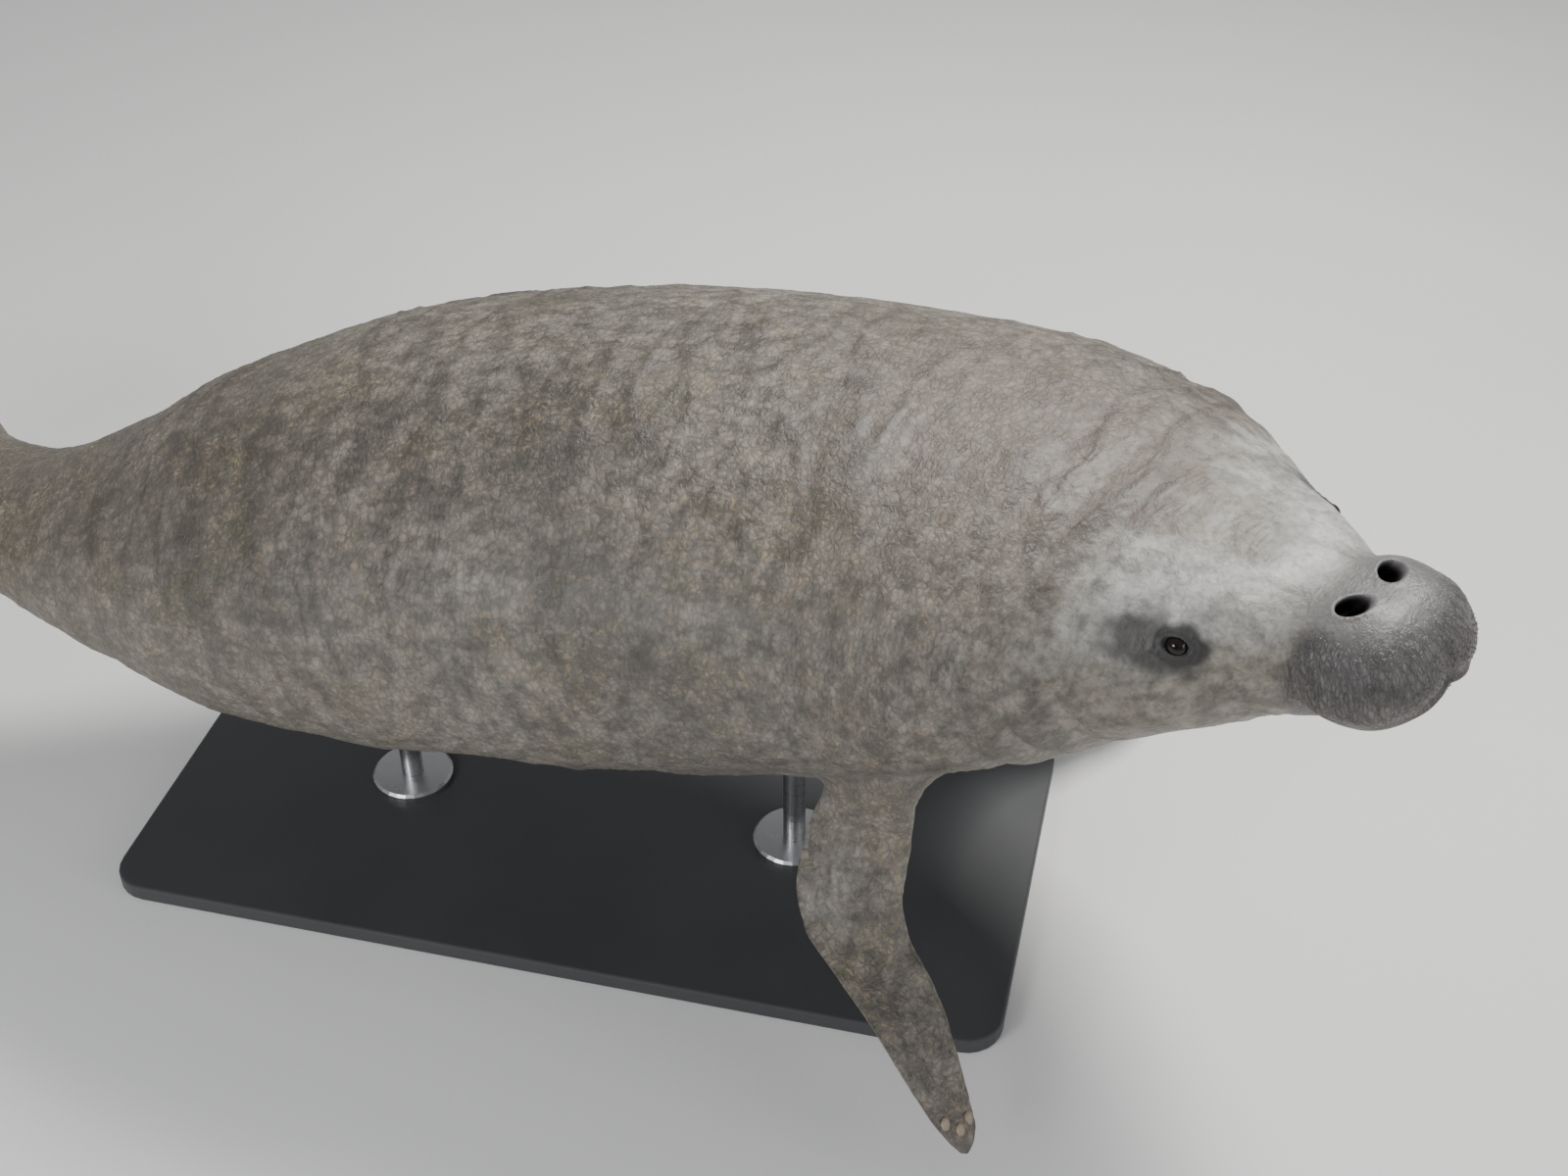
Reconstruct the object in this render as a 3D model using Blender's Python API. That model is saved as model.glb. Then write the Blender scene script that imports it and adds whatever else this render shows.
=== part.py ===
"""A life-size manatee, swimming with its muzzle lifted to breathe, on a plain display stand.

The body is one loft along a bent spine, parted by thin cuts into the lengths that a person would name.
A place on the body is given by its distance behind the snout, along the spine, and by an angle round
the section: 0 is the animal's left side, a quarter turn its back, a half turn its right side.
Metres, +X towards the head, +Y to the animal's left, +Z up. The origin is on the floor, under the middle.
"""
import math

import bmesh
import bpy
import numpy as np
from mathutils import Matrix, Vector

# Driving dimensions
LENGTH = 3.15
GAP = 0.0003
SNOUT_ROUND = 0.068
TAIL_ROUND = 0.26
REFERENCE = 1.328
REFERENCE_PLACE = (0.0, 0.0, 0.66)

# Distance behind the snout, and in degrees the yaw to the left, the rise towards the head and the roll
# of the back to the right: the photographed bend.
BEND = (
    (0.00, -30.5, 16.5, 5.5),
    (0.32, -30.5, 16.0, 5.5),
    (0.57, -21.0, 12.0, 4.0),
    (0.92, -3.0, 8.5, 0.5),
    (1.32, 2.0, 9.0, 0.0),
    (1.70, 6.0, 12.0, 0.0),
    (2.00, 4.0, 12.0, 0.0),
    (2.30, -4.0, 6.0, 0.0),
    (2.70, -9.0, 1.0, 0.0),
    (3.15, -11.0, -4.0, 0.0),
)

# Distance behind the snout, half width, height above the spine, depth below it, and squareness
# of the section: 2 is an ellipse, more is boxier, less is thin edged as in the paddle.
PROFILE = (
    (0.00, 0.094, 0.054, 0.088, 2.4),
    (0.05, 0.107, 0.067, 0.096, 2.5),
    (0.10, 0.113, 0.076, 0.103, 2.5),
    (0.155, 0.117, 0.086, 0.107, 2.35),
    (0.20, 0.139, 0.098, 0.116, 2.2),
    (0.27, 0.180, 0.121, 0.136, 2.1),
    (0.34, 0.227, 0.144, 0.161, 2.1),
    (0.42, 0.287, 0.168, 0.189, 2.1),
    (0.52, 0.350, 0.197, 0.219, 2.1),
    (0.70, 0.410, 0.240, 0.264, 2.15),
    (1.00, 0.434, 0.286, 0.308, 2.15),
    (1.30, 0.432, 0.308, 0.326, 2.15),
    (1.60, 0.410, 0.298, 0.315, 2.1),
    (1.90, 0.348, 0.250, 0.258, 2.1),
    (2.12, 0.253, 0.178, 0.175, 2.0),
    (2.37, 0.158, 0.104, 0.094, 1.9),
    (2.54, 0.184, 0.078, 0.068, 1.5),
    (2.75, 0.290, 0.052, 0.044, 1.2),
    (2.93, 0.343, 0.036, 0.031, 1.15),
    (3.15, 0.348, 0.020, 0.018, 1.15),
)
RIM = 0.009

NOSTRIL_BACK = 0.096
NOSTRIL_SIDE = 0.0415
NOSTRIL_LONG = 0.0245
NOSTRIL_WIDE = 0.0170
EYE_BACK = 0.272
EYE_UP = 0.045
MOUTH_CORNER = 0.180


def through(table, column, at):
    """The smooth curve through one column of a table, which rises and falls only where the table does."""
    xs = np.array([row[0] for row in table])
    ys = np.array([row[column] for row in table], float)
    step = np.diff(xs)
    slope = np.diff(ys) / step
    tangent = np.zeros_like(ys)
    tangent[0], tangent[-1] = slope[0], slope[-1]
    for i in range(1, len(xs) - 1):
        if slope[i - 1] * slope[i] > 0:
            before, after = 2 * step[i] + step[i - 1], step[i] + 2 * step[i - 1]
            tangent[i] = (before + after) / (before / slope[i - 1] + after / slope[i])
    at = np.clip(at, xs[0], xs[-1])
    k = np.clip(np.searchsorted(xs, at, side="right") - 1, 0, len(xs) - 2)
    t = (at - xs[k]) / step[k]
    return (
        (2 * t**3 - 3 * t**2 + 1) * ys[k]
        + (t**3 - 2 * t**2 + t) * step[k] * tangent[k]
        + (3 * t**2 - 2 * t**3) * ys[k + 1]
        + (t**3 - t**2) * step[k] * tangent[k + 1]
    )


def directions(back):
    """Forward, left and up of the spine at each distance behind the snout."""
    yaw, rise, roll = (np.radians(through(BEND, k, back)) for k in (1, 2, 3))
    ahead = np.stack([np.cos(rise) * np.cos(yaw), np.cos(rise) * np.sin(yaw), np.sin(rise)], -1)
    left = np.stack([-np.sin(yaw), np.cos(yaw), np.zeros_like(yaw)], -1)
    up = np.cross(ahead, left)
    turn, keep = np.sin(roll)[..., None], np.cos(roll)[..., None]
    return ahead, left * keep + up * turn, up * keep - left * turn


def spine_places(samples=1261):
    """Distances behind the snout and the spine's places there, summed back from the snout."""
    back = np.linspace(0, LENGTH, samples)
    ahead, _, _ = directions(back)
    steps = (ahead[1:] + ahead[:-1]) / 2 * (back[1] - back[0])
    places = np.vstack([np.zeros(3), -np.cumsum(steps, axis=0)])
    here = np.array([np.interp(REFERENCE, back, places[:, k]) for k in range(3)])
    return back, places - here + np.array(REFERENCE_PLACE)


SPINE = spine_places()


def spine_frame(back):
    """The spine's place, forward, left and up at each distance behind the snout."""
    place = np.stack([np.interp(back, SPINE[0], SPINE[1][:, k]) for k in range(3)], -1)
    return (place, *directions(back))


def hump(distance, width):
    return np.exp(-((distance / width) ** 2))


def ramp(value, low, high):
    """0 below low, 1 above high, smooth between."""
    t = np.clip((value - low) / (high - low), 0, 1)
    return t * t * (3 - 2 * t)


def rounding(back):
    """How far each section has opened: from nothing at the snout and the tail tip to 1 between them."""
    front = np.clip(1 - back / SNOUT_ROUND, 0, 1)
    tail = np.clip((back - LENGTH + TAIL_ROUND) / TAIL_ROUND, 0, 1)
    return (1 - front**2.3) ** (1 / 2.3), (1 - tail**2.3) ** (1 / 2.3)


def section(back, angle):
    """Left and up from the spine, for the plain section before its relief."""
    half, above, below, square = (through(PROFILE, k, back) for k in (1, 2, 3, 4))
    snout, tail = rounding(back)
    c, s = np.cos(angle), np.sin(angle)
    c = np.sign(c) * np.abs(c) ** np.minimum(2 / square, 1)
    height = np.where(s > 0, above, below) * np.abs(s) ** (2 / square)
    height += RIM * ramp(back, 2.3, 2.6) * np.abs(s)
    return half * snout * tail * c, np.sign(s) * height * snout * tail**0.5


def mouth_height(back, left):
    """Height of the line of the mouth, which is arched under the two pads of the upper lip."""
    arch = 0.011 * hump(left, 0.034) * (1 - ramp(back, 0.035, 0.080))
    return arch - 0.054 - 0.006 * hump(back - 0.075, 0.045) + 0.024 * ramp(back, 0.09, MOUTH_CORNER)


def crease_back(up):
    """Where the crease runs that bounds the muzzle, further back low down on the cheek."""
    return 0.150 + 0.016 * ramp(-up, -0.06, 0.03)


def head_relief(back, left, up):
    """How far the skin of the head stands out from the plain sections."""
    side = np.abs(left)
    lip = mouth_height(back, left)
    over, under = up - lip, ramp(lip - up, -0.006, 0.022)
    front = 1 - ramp(back, 0.05, 0.17)
    relief = 0.011 * hump(back - 0.060, 0.062) * hump(over - 0.030, 0.032) * ramp(side, 0.006, 0.050)
    relief -= 0.015 * under * front * (0.55 + 0.45 * ramp(side, 0.03, 0.09))
    relief += 0.006 * under * hump(back - 0.030, 0.045) * hump(left, 0.045)
    relief -= 0.006 * hump(left, 0.011) * hump(up + 0.012, 0.045) * (1 - ramp(back, 0.03, 0.07))
    behind = np.where(back > crease_back(up), 0.034, 0.017)
    crease = hump(back - crease_back(up), behind) * ramp(up, -0.050, 0.0)
    relief -= 0.007 * crease * (1 - 0.6 * hump(left, 0.05))
    relief += 0.005 * hump(back - 0.105, 0.035) * hump(up - 0.045, 0.040) * ramp(side, 0.02, 0.06)
    relief -= 0.005 * hump(left, 0.030) * hump(back - 0.165, 0.060) * ramp(up, 0.02, 0.06)
    relief += 0.011 * hump(back - 0.235, 0.055) * hump(up - 0.082, 0.032) * hump(side - 0.112, 0.038)
    relief += 0.015 * hump(back - 0.300, 0.080) * hump(up + 0.055, 0.055) * ramp(side, 0.05, 0.12)
    hollow = hump(back - EYE_BACK + 0.030, 0.030) * hump(up - EYE_UP + 0.020, 0.024)
    socket = hump(back - EYE_BACK, 0.036) * hump(up - EYE_UP, 0.030)
    relief += 0.006 * (socket - hollow) * ramp(side, 0.05, 0.11)
    relief -= 0.007 * hump(back - 0.225 - 0.2 * up, 0.022) * ramp(-up, 0.070, 0.105)
    return relief


def neck_folds(back, left, up):
    """Soft rolls across the neck, deepest under the throat."""
    under = 0.35 + 0.65 * ramp(-up, -0.10, 0.12)
    folds = sum(hump(back - place - 0.05 * left**2, 0.016) for place in (0.405, 0.470, 0.545))
    return -0.009 * folds * under


def surface(back, angle, lift=0.0):
    """Places on the skin, and the outward directions there, for arrays of distances and angles."""
    back, angle = np.broadcast_arrays(np.asarray(back, float), np.asarray(angle, float))
    small = 1e-4
    left, up = section(back, angle)
    ahead_of, behind = np.clip(back - small, 0, LENGTH), np.clip(back + small, 0, LENGTH)
    a, b = section(ahead_of, angle), section(behind, angle)
    along = np.stack([-(behind - ahead_of), b[0] - a[0], b[1] - a[1]], -1)
    a, b = section(back, angle - small), section(back, angle + small)
    across = np.stack([np.zeros_like(back), b[0] - a[0], b[1] - a[1]], -1)
    out = np.cross(along, across)
    size = np.linalg.norm(out, axis=-1, keepdims=True)
    pole = np.where(back > LENGTH / 2, -1.0, 1.0)[..., None] * np.array([1.0, 0, 0])
    out = np.where(size > 1e-13, out / np.maximum(size, 1e-13), pole)
    relief = head_relief(back, left, up) * (1 - ramp(back, 0.36, 0.44)) + neck_folds(back, left, up)
    flat = ramp(back, SNOUT_ROUND, SNOUT_ROUND + 0.02)
    push = out * (relief + lift)[..., None]
    push[..., 0] *= 1 - flat
    place, ahead, left_way, up_way = spine_frame(back)
    local = push + np.stack([np.zeros_like(left), left, up], -1)
    places = place + ahead * local[..., :1] + left_way * local[..., 1:2] + up_way * local[..., 2:]
    return places, ahead * out[..., :1] + left_way * out[..., 1:2] + up_way * out[..., 2:]


# Where the body is parted, as distances behind the snout, and how finely each length is made.
LENGTHS = (
    ("muzzle", 0.0, 0.158, 72, 15),
    ("head", 0.158, 0.405, 72, 11),
    ("neck", 0.405, 0.560, 48, 9),
    ("shoulders", 0.560, 0.980, 44, 8),
    ("midriff", 0.980, 1.420, 40, 6),
    ("hindquarters", 1.420, 1.900, 40, 7),
    ("tail_stock", 1.900, 2.420, 40, 8),
    ("tail_paddle", 2.420, LENGTH, 44, 14),
)

# Each flipper: distance from the skin along it, forward offset, chord, thickness and twist in degrees.
FLIPPER_ROOT = 0.83
FLIPPER_DROOP = 50
FLIPPER = (
    (-0.140, -0.004, 0.215, 0.125, 0),
    (-0.040, -0.010, 0.215, 0.110, 0),
    (0.030, -0.022, 0.188, 0.094, 0),
    (0.090, -0.032, 0.168, 0.078, 3),
    (0.170, -0.036, 0.161, 0.064, 10),
    (0.235, -0.016, 0.162, 0.053, 20),
    (0.290, 0.030, 0.158, 0.042, 36),
    (0.360, 0.086, 0.142, 0.031, 52),
    (0.430, 0.135, 0.114, 0.022, 58),
    (0.485, 0.172, 0.080, 0.017, 60),
    (0.515, 0.190, 0.053, 0.014, 60),
)
WRIST = 0.250
FLIPPER_SEGMENTS = 24
FLIPPER_ROUND = 0.050
NAILS = ((0.470, 0.028), (0.484, 0.004), (0.476, -0.020))
NAIL_WIDTH = 0.016
NAIL_LENGTH = 0.022
NAIL_HEIGHT = 0.0050
NAIL_SEAT = 0.85

EYE_RADIUS = 0.0160
EYE_SINK = 0.0115
LID_RADIUS = 0.0045
LID_REACH = 0.0125
LID_LONG = 1.30

BASE_LENGTH = 1.50
BASE_WIDTH = 0.72
BASE_HEIGHT = 0.030
BASE_CORNER = 0.060
BASE_BEVEL = 0.004
ROD_RADIUS = 0.019
ROD_FOOT_RADIUS = 0.070
ROD_FOOT_HEIGHT = 0.014
ROD_PLACES = (("front", 1.02), ("rear", 1.72))
TURNED_SEGMENTS = 28

# Colour, roughness and metallic value of each finish.
SKIN = ((0.118, 0.098, 0.078), 0.55, 0.0)
MUZZLE_SKIN = ((0.105, 0.092, 0.098), 0.45, 0.0)
EYE = ((0.012, 0.010, 0.009), 0.08, 0.0)
NAIL = ((0.330, 0.270, 0.200), 0.45, 0.0)
BASE = ((0.050, 0.052, 0.055), 0.45, 0.0)
STEEL = ((0.560, 0.570, 0.580), 0.30, 1.0)


def clear_scene():
    for item in list(bpy.data.objects):
        bpy.data.objects.remove(item, do_unlink=True)


def solid(name, points, faces):
    """A closed mesh object with its faces pointing out."""
    mesh = bpy.data.meshes.new(name)
    mesh.from_pydata([tuple(map(float, p)) for p in points], [], faces)
    work = bmesh.new()
    work.from_mesh(mesh)
    bmesh.ops.recalc_face_normals(work, faces=work.faces[:])
    if work.calc_volume(signed=True) < 0:
        bmesh.ops.reverse_faces(work, faces=work.faces[:])
    work.to_mesh(mesh)
    work.free()
    item = bpy.data.objects.new(name, mesh)
    bpy.context.collection.objects.link(item)
    return item


def finish(item, look):
    """Give a piece its own material and smooth shading."""
    (red, green, blue), roughness, metallic = look
    material = bpy.data.materials.new(item.name)
    material.use_nodes = True
    shader = material.node_tree.nodes["Principled BSDF"]
    shader.inputs["Base Color"].default_value = (red, green, blue, 1.0)
    shader.inputs["Roughness"].default_value = roughness
    shader.inputs["Metallic"].default_value = metallic
    item.data.materials.clear()
    item.data.materials.append(material)
    item.data.shade_smooth()
    item.data.set_sharp_from_angle(angle=math.radians(42))
    return item


def ring_solid(name, rings):
    """A closed tube through rings of places; a first or last ring of no size becomes a single point."""
    rings = [np.asarray(ring) for ring in rings]
    around = len(rings[0])
    poles = [np.ptp(rings[k], axis=0).max() < 1e-6 for k in (0, -1)]
    points, starts = [], []
    for k, ring in enumerate(rings):
        starts.append(len(points))
        is_pole = (k == 0 and poles[0]) or (k == len(rings) - 1 and poles[1])
        points.extend([ring.mean(axis=0)] if is_pole else ring)
    faces = []
    for k in range(len(rings) - 1):
        here, there = starts[k], starts[k + 1]
        for j in range(around):
            n = (j + 1) % around
            if k == 0 and poles[0]:
                faces.append((here, there + j, there + n))
            elif k == len(rings) - 2 and poles[1]:
                faces.append((here + j, there, here + n))
            else:
                faces.append((here + j, there + j, there + n))
                faces.append((here + j, there + n, here + n))
    if not poles[0]:
        faces.append(tuple(range(around - 1, -1, -1)))
    if not poles[1]:
        faces.append(tuple(starts[-1] + j for j in range(around)))
    return solid(name, points, faces)


def stations(start, end, rings):
    """Distances behind the snout for the rings of one length, closer at the snout and the tail tip."""
    t = np.linspace(0, 1, rings + 1)
    if start == 0:
        t = t**1.5
    if end == LENGTH:
        t = 1 - (1 - t) ** 1.6
    first = start + (GAP / 2 if start > 0 else 0)
    last = end - (GAP / 2 if end < LENGTH else 0)
    return first + (last - first) * t


def body_length(name, back, segments, lift=0.0):
    """The body between the first and the last of some distances behind the snout."""
    angles = np.arange(segments) * 2 * math.pi / segments
    places, _ = surface(back[:, None], angles[None, :], lift)
    return ring_solid(name, places)


def clearance(first, last):
    """The lengths of the body from one to another in the list, grown by the gap, to cut a neighbour with."""
    rows = LENGTHS[first : last + 1]
    back = np.concatenate([stations(*row[1:3], row[4]) for row in rows])
    back = np.concatenate([[back[0] - 0.05], back, [back[-1] + 0.05]])
    return body_length("clearance", back, rows[0][3], GAP)


def apply_modifiers(item):
    graph = bpy.context.evaluated_depsgraph_get()
    made = bpy.data.meshes.new_from_object(item.evaluated_get(graph))
    item.modifiers.clear()
    item.data = made


def is_closed(mesh):
    """Whether every edge of a mesh lies between just two faces."""
    work = bmesh.new()
    work.from_mesh(mesh)
    closed = bool(work.faces) and all(edge.is_manifold for edge in work.edges)
    work.free()
    return closed


def combine(item, other, operation):
    """Cut, keep or join one closed mesh with another, which is used up."""
    other.hide_render = True
    other.display_type = "WIRE"
    before = item.data
    for solver in ("EXACT", "MANIFOLD"):
        item.data = before.copy()
        change = item.modifiers.new(operation.lower(), "BOOLEAN")
        change.operation = operation
        change.solver = solver
        change.object = other
        apply_modifiers(item)
        if is_closed(item.data):
            break
    bpy.data.objects.remove(other, do_unlink=True)
    return item


def keep_largest(item):
    """Drop any scrap, or skin of a sealed hollow, that a cut or a union has left."""
    work = bmesh.new()
    work.from_mesh(item.data)
    work.faces.ensure_lookup_table()
    unseen, islands = set(work.faces), []
    while unseen:
        queue = [unseen.pop()]
        island = list(queue)
        while queue:
            face = queue.pop()
            for edge in face.edges:
                for other in edge.link_faces:
                    if other in unseen:
                        unseen.remove(other)
                        queue.append(other)
                        island.append(other)
        islands.append(island)
    islands.sort(key=lambda faces: -sum(face.calc_area() for face in faces))
    scraps = [face for island in islands[1:] for face in island]
    if scraps:
        bmesh.ops.delete(work, geom=scraps, context="FACES")
    work.to_mesh(item.data)
    work.free()
    return item


def head_place(back, left, up):
    """A place given in the head's own directions, which hold still from the snout to the neck."""
    place, ahead, left_way, up_way = (part[0] for part in spine_frame(np.array([0.15])))
    return place + ahead * (0.15 - back) + left_way * left + up_way * up


def block_below_mouth(name, slack):
    """Everything below the line of the mouth and ahead of its corner, grown by a slack."""
    front, deep, wide = -0.05, -0.30, 0.30
    back = np.linspace(front, MOUTH_CORNER, 16)
    rings = []
    for left in (-wide, *np.linspace(-0.10, 0.10, 25), wide):
        line = [(b, mouth_height(b, left) + slack) for b in back]
        line.append((MOUTH_CORNER + 0.012 + slack, mouth_height(MOUTH_CORNER, left) - 0.012))
        line.append((MOUTH_CORNER + 0.050 + slack, deep))
        line.append((front, deep))
        rings.append([head_place(b, left, h) for b, h in line])
    return ring_solid(name, rings)


def angle_at(back, column, value, right=False):
    """The angle round the section where it reaches a distance to the left of the spine, or a height."""
    if column == "left":
        angles = np.linspace(0.02, math.pi - 0.02, 400)
        reach = section(np.full(400, back), angles)[0]
        return float(np.interp(-value, -reach, angles))
    angles = np.linspace(-1.3, 1.3, 400)
    reach = section(np.full(400, back), angles)[1]
    angle = float(np.interp(value, reach, angles))
    return math.pi - angle if right else angle


def skin_place(back, angle, lift=0.0):
    place, out = surface(np.array([back]), np.array([angle]), lift)
    return Vector(place[0]), Vector(out[0]).normalized()


def ellipse_tube(name, middles, sizes, wide_way, deep_way, segments):
    """A closed tube of elliptical rings about given middles."""
    angles = np.arange(segments) * 2 * math.pi / segments
    wide, deep = np.array(wide_way), np.array(deep_way)
    rings = []
    for middle, (a, b) in zip(middles, sizes):
        flat = np.outer(np.cos(angles) * a, wide) + np.outer(np.sin(angles) * b, deep)
        rings.append(np.array(middle) + flat)
    return ring_solid(name, rings)


def nostril(side):
    """The open hole of a nostril: an oval funnel that runs back and down into the muzzle."""
    angle = angle_at(NOSTRIL_BACK, "left", side * NOSTRIL_SIDE)
    place, out = skin_place(NOSTRIL_BACK, angle)
    ahead = Vector(spine_frame(np.array([0.15]))[1][0])
    left = Vector(spine_frame(np.array([0.15]))[2][0])
    inward = (-out * 0.80 - ahead * 0.50).normalized()
    wide = ahead * 0.42 - left * side * 0.85
    wide = (wide - inward * wide.dot(inward)).normalized()
    deep = inward.cross(wide).normalized()
    steps = ((-0.020, 1.25), (0.0, 1.0), (0.006, 0.92), (0.024, 0.80), (0.045, 0.55))
    middles = [place + inward * step for step, _ in steps]
    sizes = [(NOSTRIL_LONG * scale, NOSTRIL_WIDE * scale) for _, scale in steps]
    return ellipse_tube("nostril", middles, sizes, wide, deep, 20)


def eye_spot(side):
    angle = angle_at(EYE_BACK, "up", EYE_UP, right=side < 0)
    place, out = skin_place(EYE_BACK, angle)
    return place - out * EYE_SINK, out


def ball(name, middle, axis, radius, segments, rings):
    """A sphere with its poles along an axis."""
    turn = axis.to_track_quat("Z", "Y").to_matrix()
    loops = []
    for k in range(rings + 1):
        polar = math.pi * k / rings
        flat, high = math.sin(polar), math.cos(polar)
        around = [2 * math.pi * j / segments for j in range(segments)]
        spots = [Vector((flat * math.cos(a), flat * math.sin(a), high)) for a in around]
        loops.append(np.array([middle + turn @ spot * radius for spot in spots]))
    return ring_solid(name, loops)


def lid_ring(name, side):
    """The raised ring of the lids, an oval torus sunk half in the skin."""
    middle, out = eye_spot(side)
    ahead, _, up = (Vector(part[0]) for part in spine_frame(np.array([0.15]))[1:])
    long_way = ahead * 0.97 - up * 0.24
    long_way = (long_way - out * long_way.dot(out)).normalized()
    high_way = out.cross(long_way)
    points, faces = [], []
    around, across = 20, 8
    for j in range(around):
        a = 2 * math.pi * j / around
        for k in range(across):
            b = 2 * math.pi * k / across
            radial = LID_REACH + LID_RADIUS * math.cos(b)
            height = EYE_SINK - 0.0010 + LID_RADIUS * 0.75 * math.sin(b)
            flat = long_way * radial * LID_LONG * math.cos(a) + high_way * radial * math.sin(a)
            points.append(middle + flat + out * height)
            nj, nk = (j + 1) % around, (k + 1) % across
            faces.append((j * across + k, nj * across + k, nj * across + nk, j * across + nk))
    return solid(name, points, faces)


def make_head_end():
    """Muzzle, head and the lower jaw, which is cut from both along the mouth."""
    pieces = []
    for name, start, end, segments, rings in LENGTHS[:2]:
        piece = body_length(name, stations(start, end, rings), segments)
        pieces.append(combine(piece, block_below_mouth("below", GAP / 2), "DIFFERENCE"))
    muzzle, head = pieces
    jaw_back = np.concatenate([stations(*row[1:3], row[4]) for row in LENGTHS[:2]])
    jaw = body_length("lower_jaw", jaw_back, LENGTHS[0][3])
    combine(jaw, block_below_mouth("below", -GAP / 2), "INTERSECT")
    for side in (1, -1):
        combine(muzzle, nostril(side), "DIFFERENCE")
        combine(head, lid_ring("lid", side), "UNION")
        middle, out = eye_spot(side)
        combine(head, ball("socket", middle, out, EYE_RADIUS + GAP, 16, 10), "DIFFERENCE")
        finish(ball("eye_left" if side > 0 else "eye_right", middle, out, EYE_RADIUS, 16, 10), EYE)
    finish(keep_largest(muzzle), MUZZLE_SKIN)
    finish(keep_largest(jaw), MUZZLE_SKIN)
    finish(keep_largest(head), SKIN)


def make_trunk():
    """The lengths of the body behind the head."""
    for name, start, end, segments, rings in LENGTHS[2:]:
        finish(body_length(name, stations(start, end, rings), segments), SKIN)


def flipper_ways(side):
    """The root of a flipper on the skin, the way it hangs, and the way ahead."""
    place, ahead, left, up = (part[0] for part in spine_frame(np.array([FLIPPER_ROOT])))
    droop = math.radians(FLIPPER_DROOP)
    down = left * side * math.cos(droop) - up * math.sin(droop)
    angle = -droop if side > 0 else math.pi + droop
    reach = np.linalg.norm(surface(np.array([FLIPPER_ROOT]), np.array([angle]))[0][0] - place)
    return place + down * reach, down, ahead


def flipper_section(side, distance):
    """Middle, leading and outer ways, half chord and half thickness at a distance from the skin."""
    root, down, ahead = flipper_ways(side)
    forward, chord, thick, twist = (
        float(through(FLIPPER, k, np.array([distance]))[0]) for k in (1, 2, 3, 4)
    )
    close = max(0.0, (distance - FLIPPER[-1][0] + FLIPPER_ROUND) / FLIPPER_ROUND)
    round_off = math.sqrt(max(0.0, 1 - close**2))
    lead = np.array(Matrix.Rotation(math.radians(twist) * side, 3, Vector(down)) @ Vector(ahead))
    outer = np.cross(lead, down) * side
    middle = root + down * distance + ahead * forward
    return middle, lead, outer, chord * round_off / 2, thick * round_off**0.6 / 2


def flipper_rings(side, start, end, rings, lift=0.0):
    """Rings of a flipper between two distances from the skin, closer at the tip."""
    t = np.linspace(0, 1, rings + 1)
    if end == FLIPPER[-1][0]:
        t = 1 - (1 - t) ** 1.5
    angles = np.arange(FLIPPER_SEGMENTS) * 2 * math.pi / FLIPPER_SEGMENTS
    made = []
    for distance in start + (end - start) * t:
        middle, lead, outer, half_chord, half_thick = flipper_section(side, distance)
        across = np.cos(angles) * (half_chord + lift)
        height = np.sign(np.sin(angles)) * np.abs(np.sin(angles)) ** 1.15 * (half_thick + lift)
        made.append(middle + np.outer(across, lead) + np.outer(height, outer))
    return made


def make_flipper(side, word):
    """Arm and hand of one flipper, with three nails near the edge of the hand."""
    arm = ring_solid(f"flipper_{word}_arm", flipper_rings(side, FLIPPER[0][0], WRIST - GAP / 2, 13))
    combine(arm, clearance(3, 3), "DIFFERENCE")
    finish(keep_largest(arm), SKIN)
    hand_reach = (WRIST + GAP / 2, FLIPPER[-1][0], 10)
    finish(ring_solid(f"flipper_{word}_hand", flipper_rings(side, *hand_reach)), SKIN)
    _, down, _ = flipper_ways(side)
    for number, (distance, across) in enumerate(NAILS, start=1):
        middle, lead, outer, _, half_thick = flipper_section(side, distance)
        angles = np.arange(12) * 2 * math.pi / 12
        centre = middle + lead * across + outer * half_thick * NAIL_SEAT
        rings = []
        flat = np.outer(np.cos(angles), lead * NAIL_WIDTH / 2)
        flat += np.outer(np.sin(angles), down * NAIL_LENGTH / 2)
        for polar in np.linspace(0, math.pi, 7):
            rings.append(centre + outer * NAIL_HEIGHT * math.cos(polar) + flat * math.sin(polar))
        nail = ring_solid(f"flipper_{word}_nail_{number}", rings)
        combine(nail, ring_solid("hand clearance", flipper_rings(side, *hand_reach, GAP)), "DIFFERENCE")
        finish(keep_largest(nail), NAIL)


def turned(name, x, y, profile):
    """An upright turned solid about a place on the floor, from heights and radii."""
    angles = np.arange(TURNED_SEGMENTS) * 2 * math.pi / TURNED_SEGMENTS
    around = np.stack([np.cos(angles), np.sin(angles), np.zeros_like(angles)], -1)
    return ring_solid(name, [around * radius + (x, y, height) for height, radius in profile])


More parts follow.
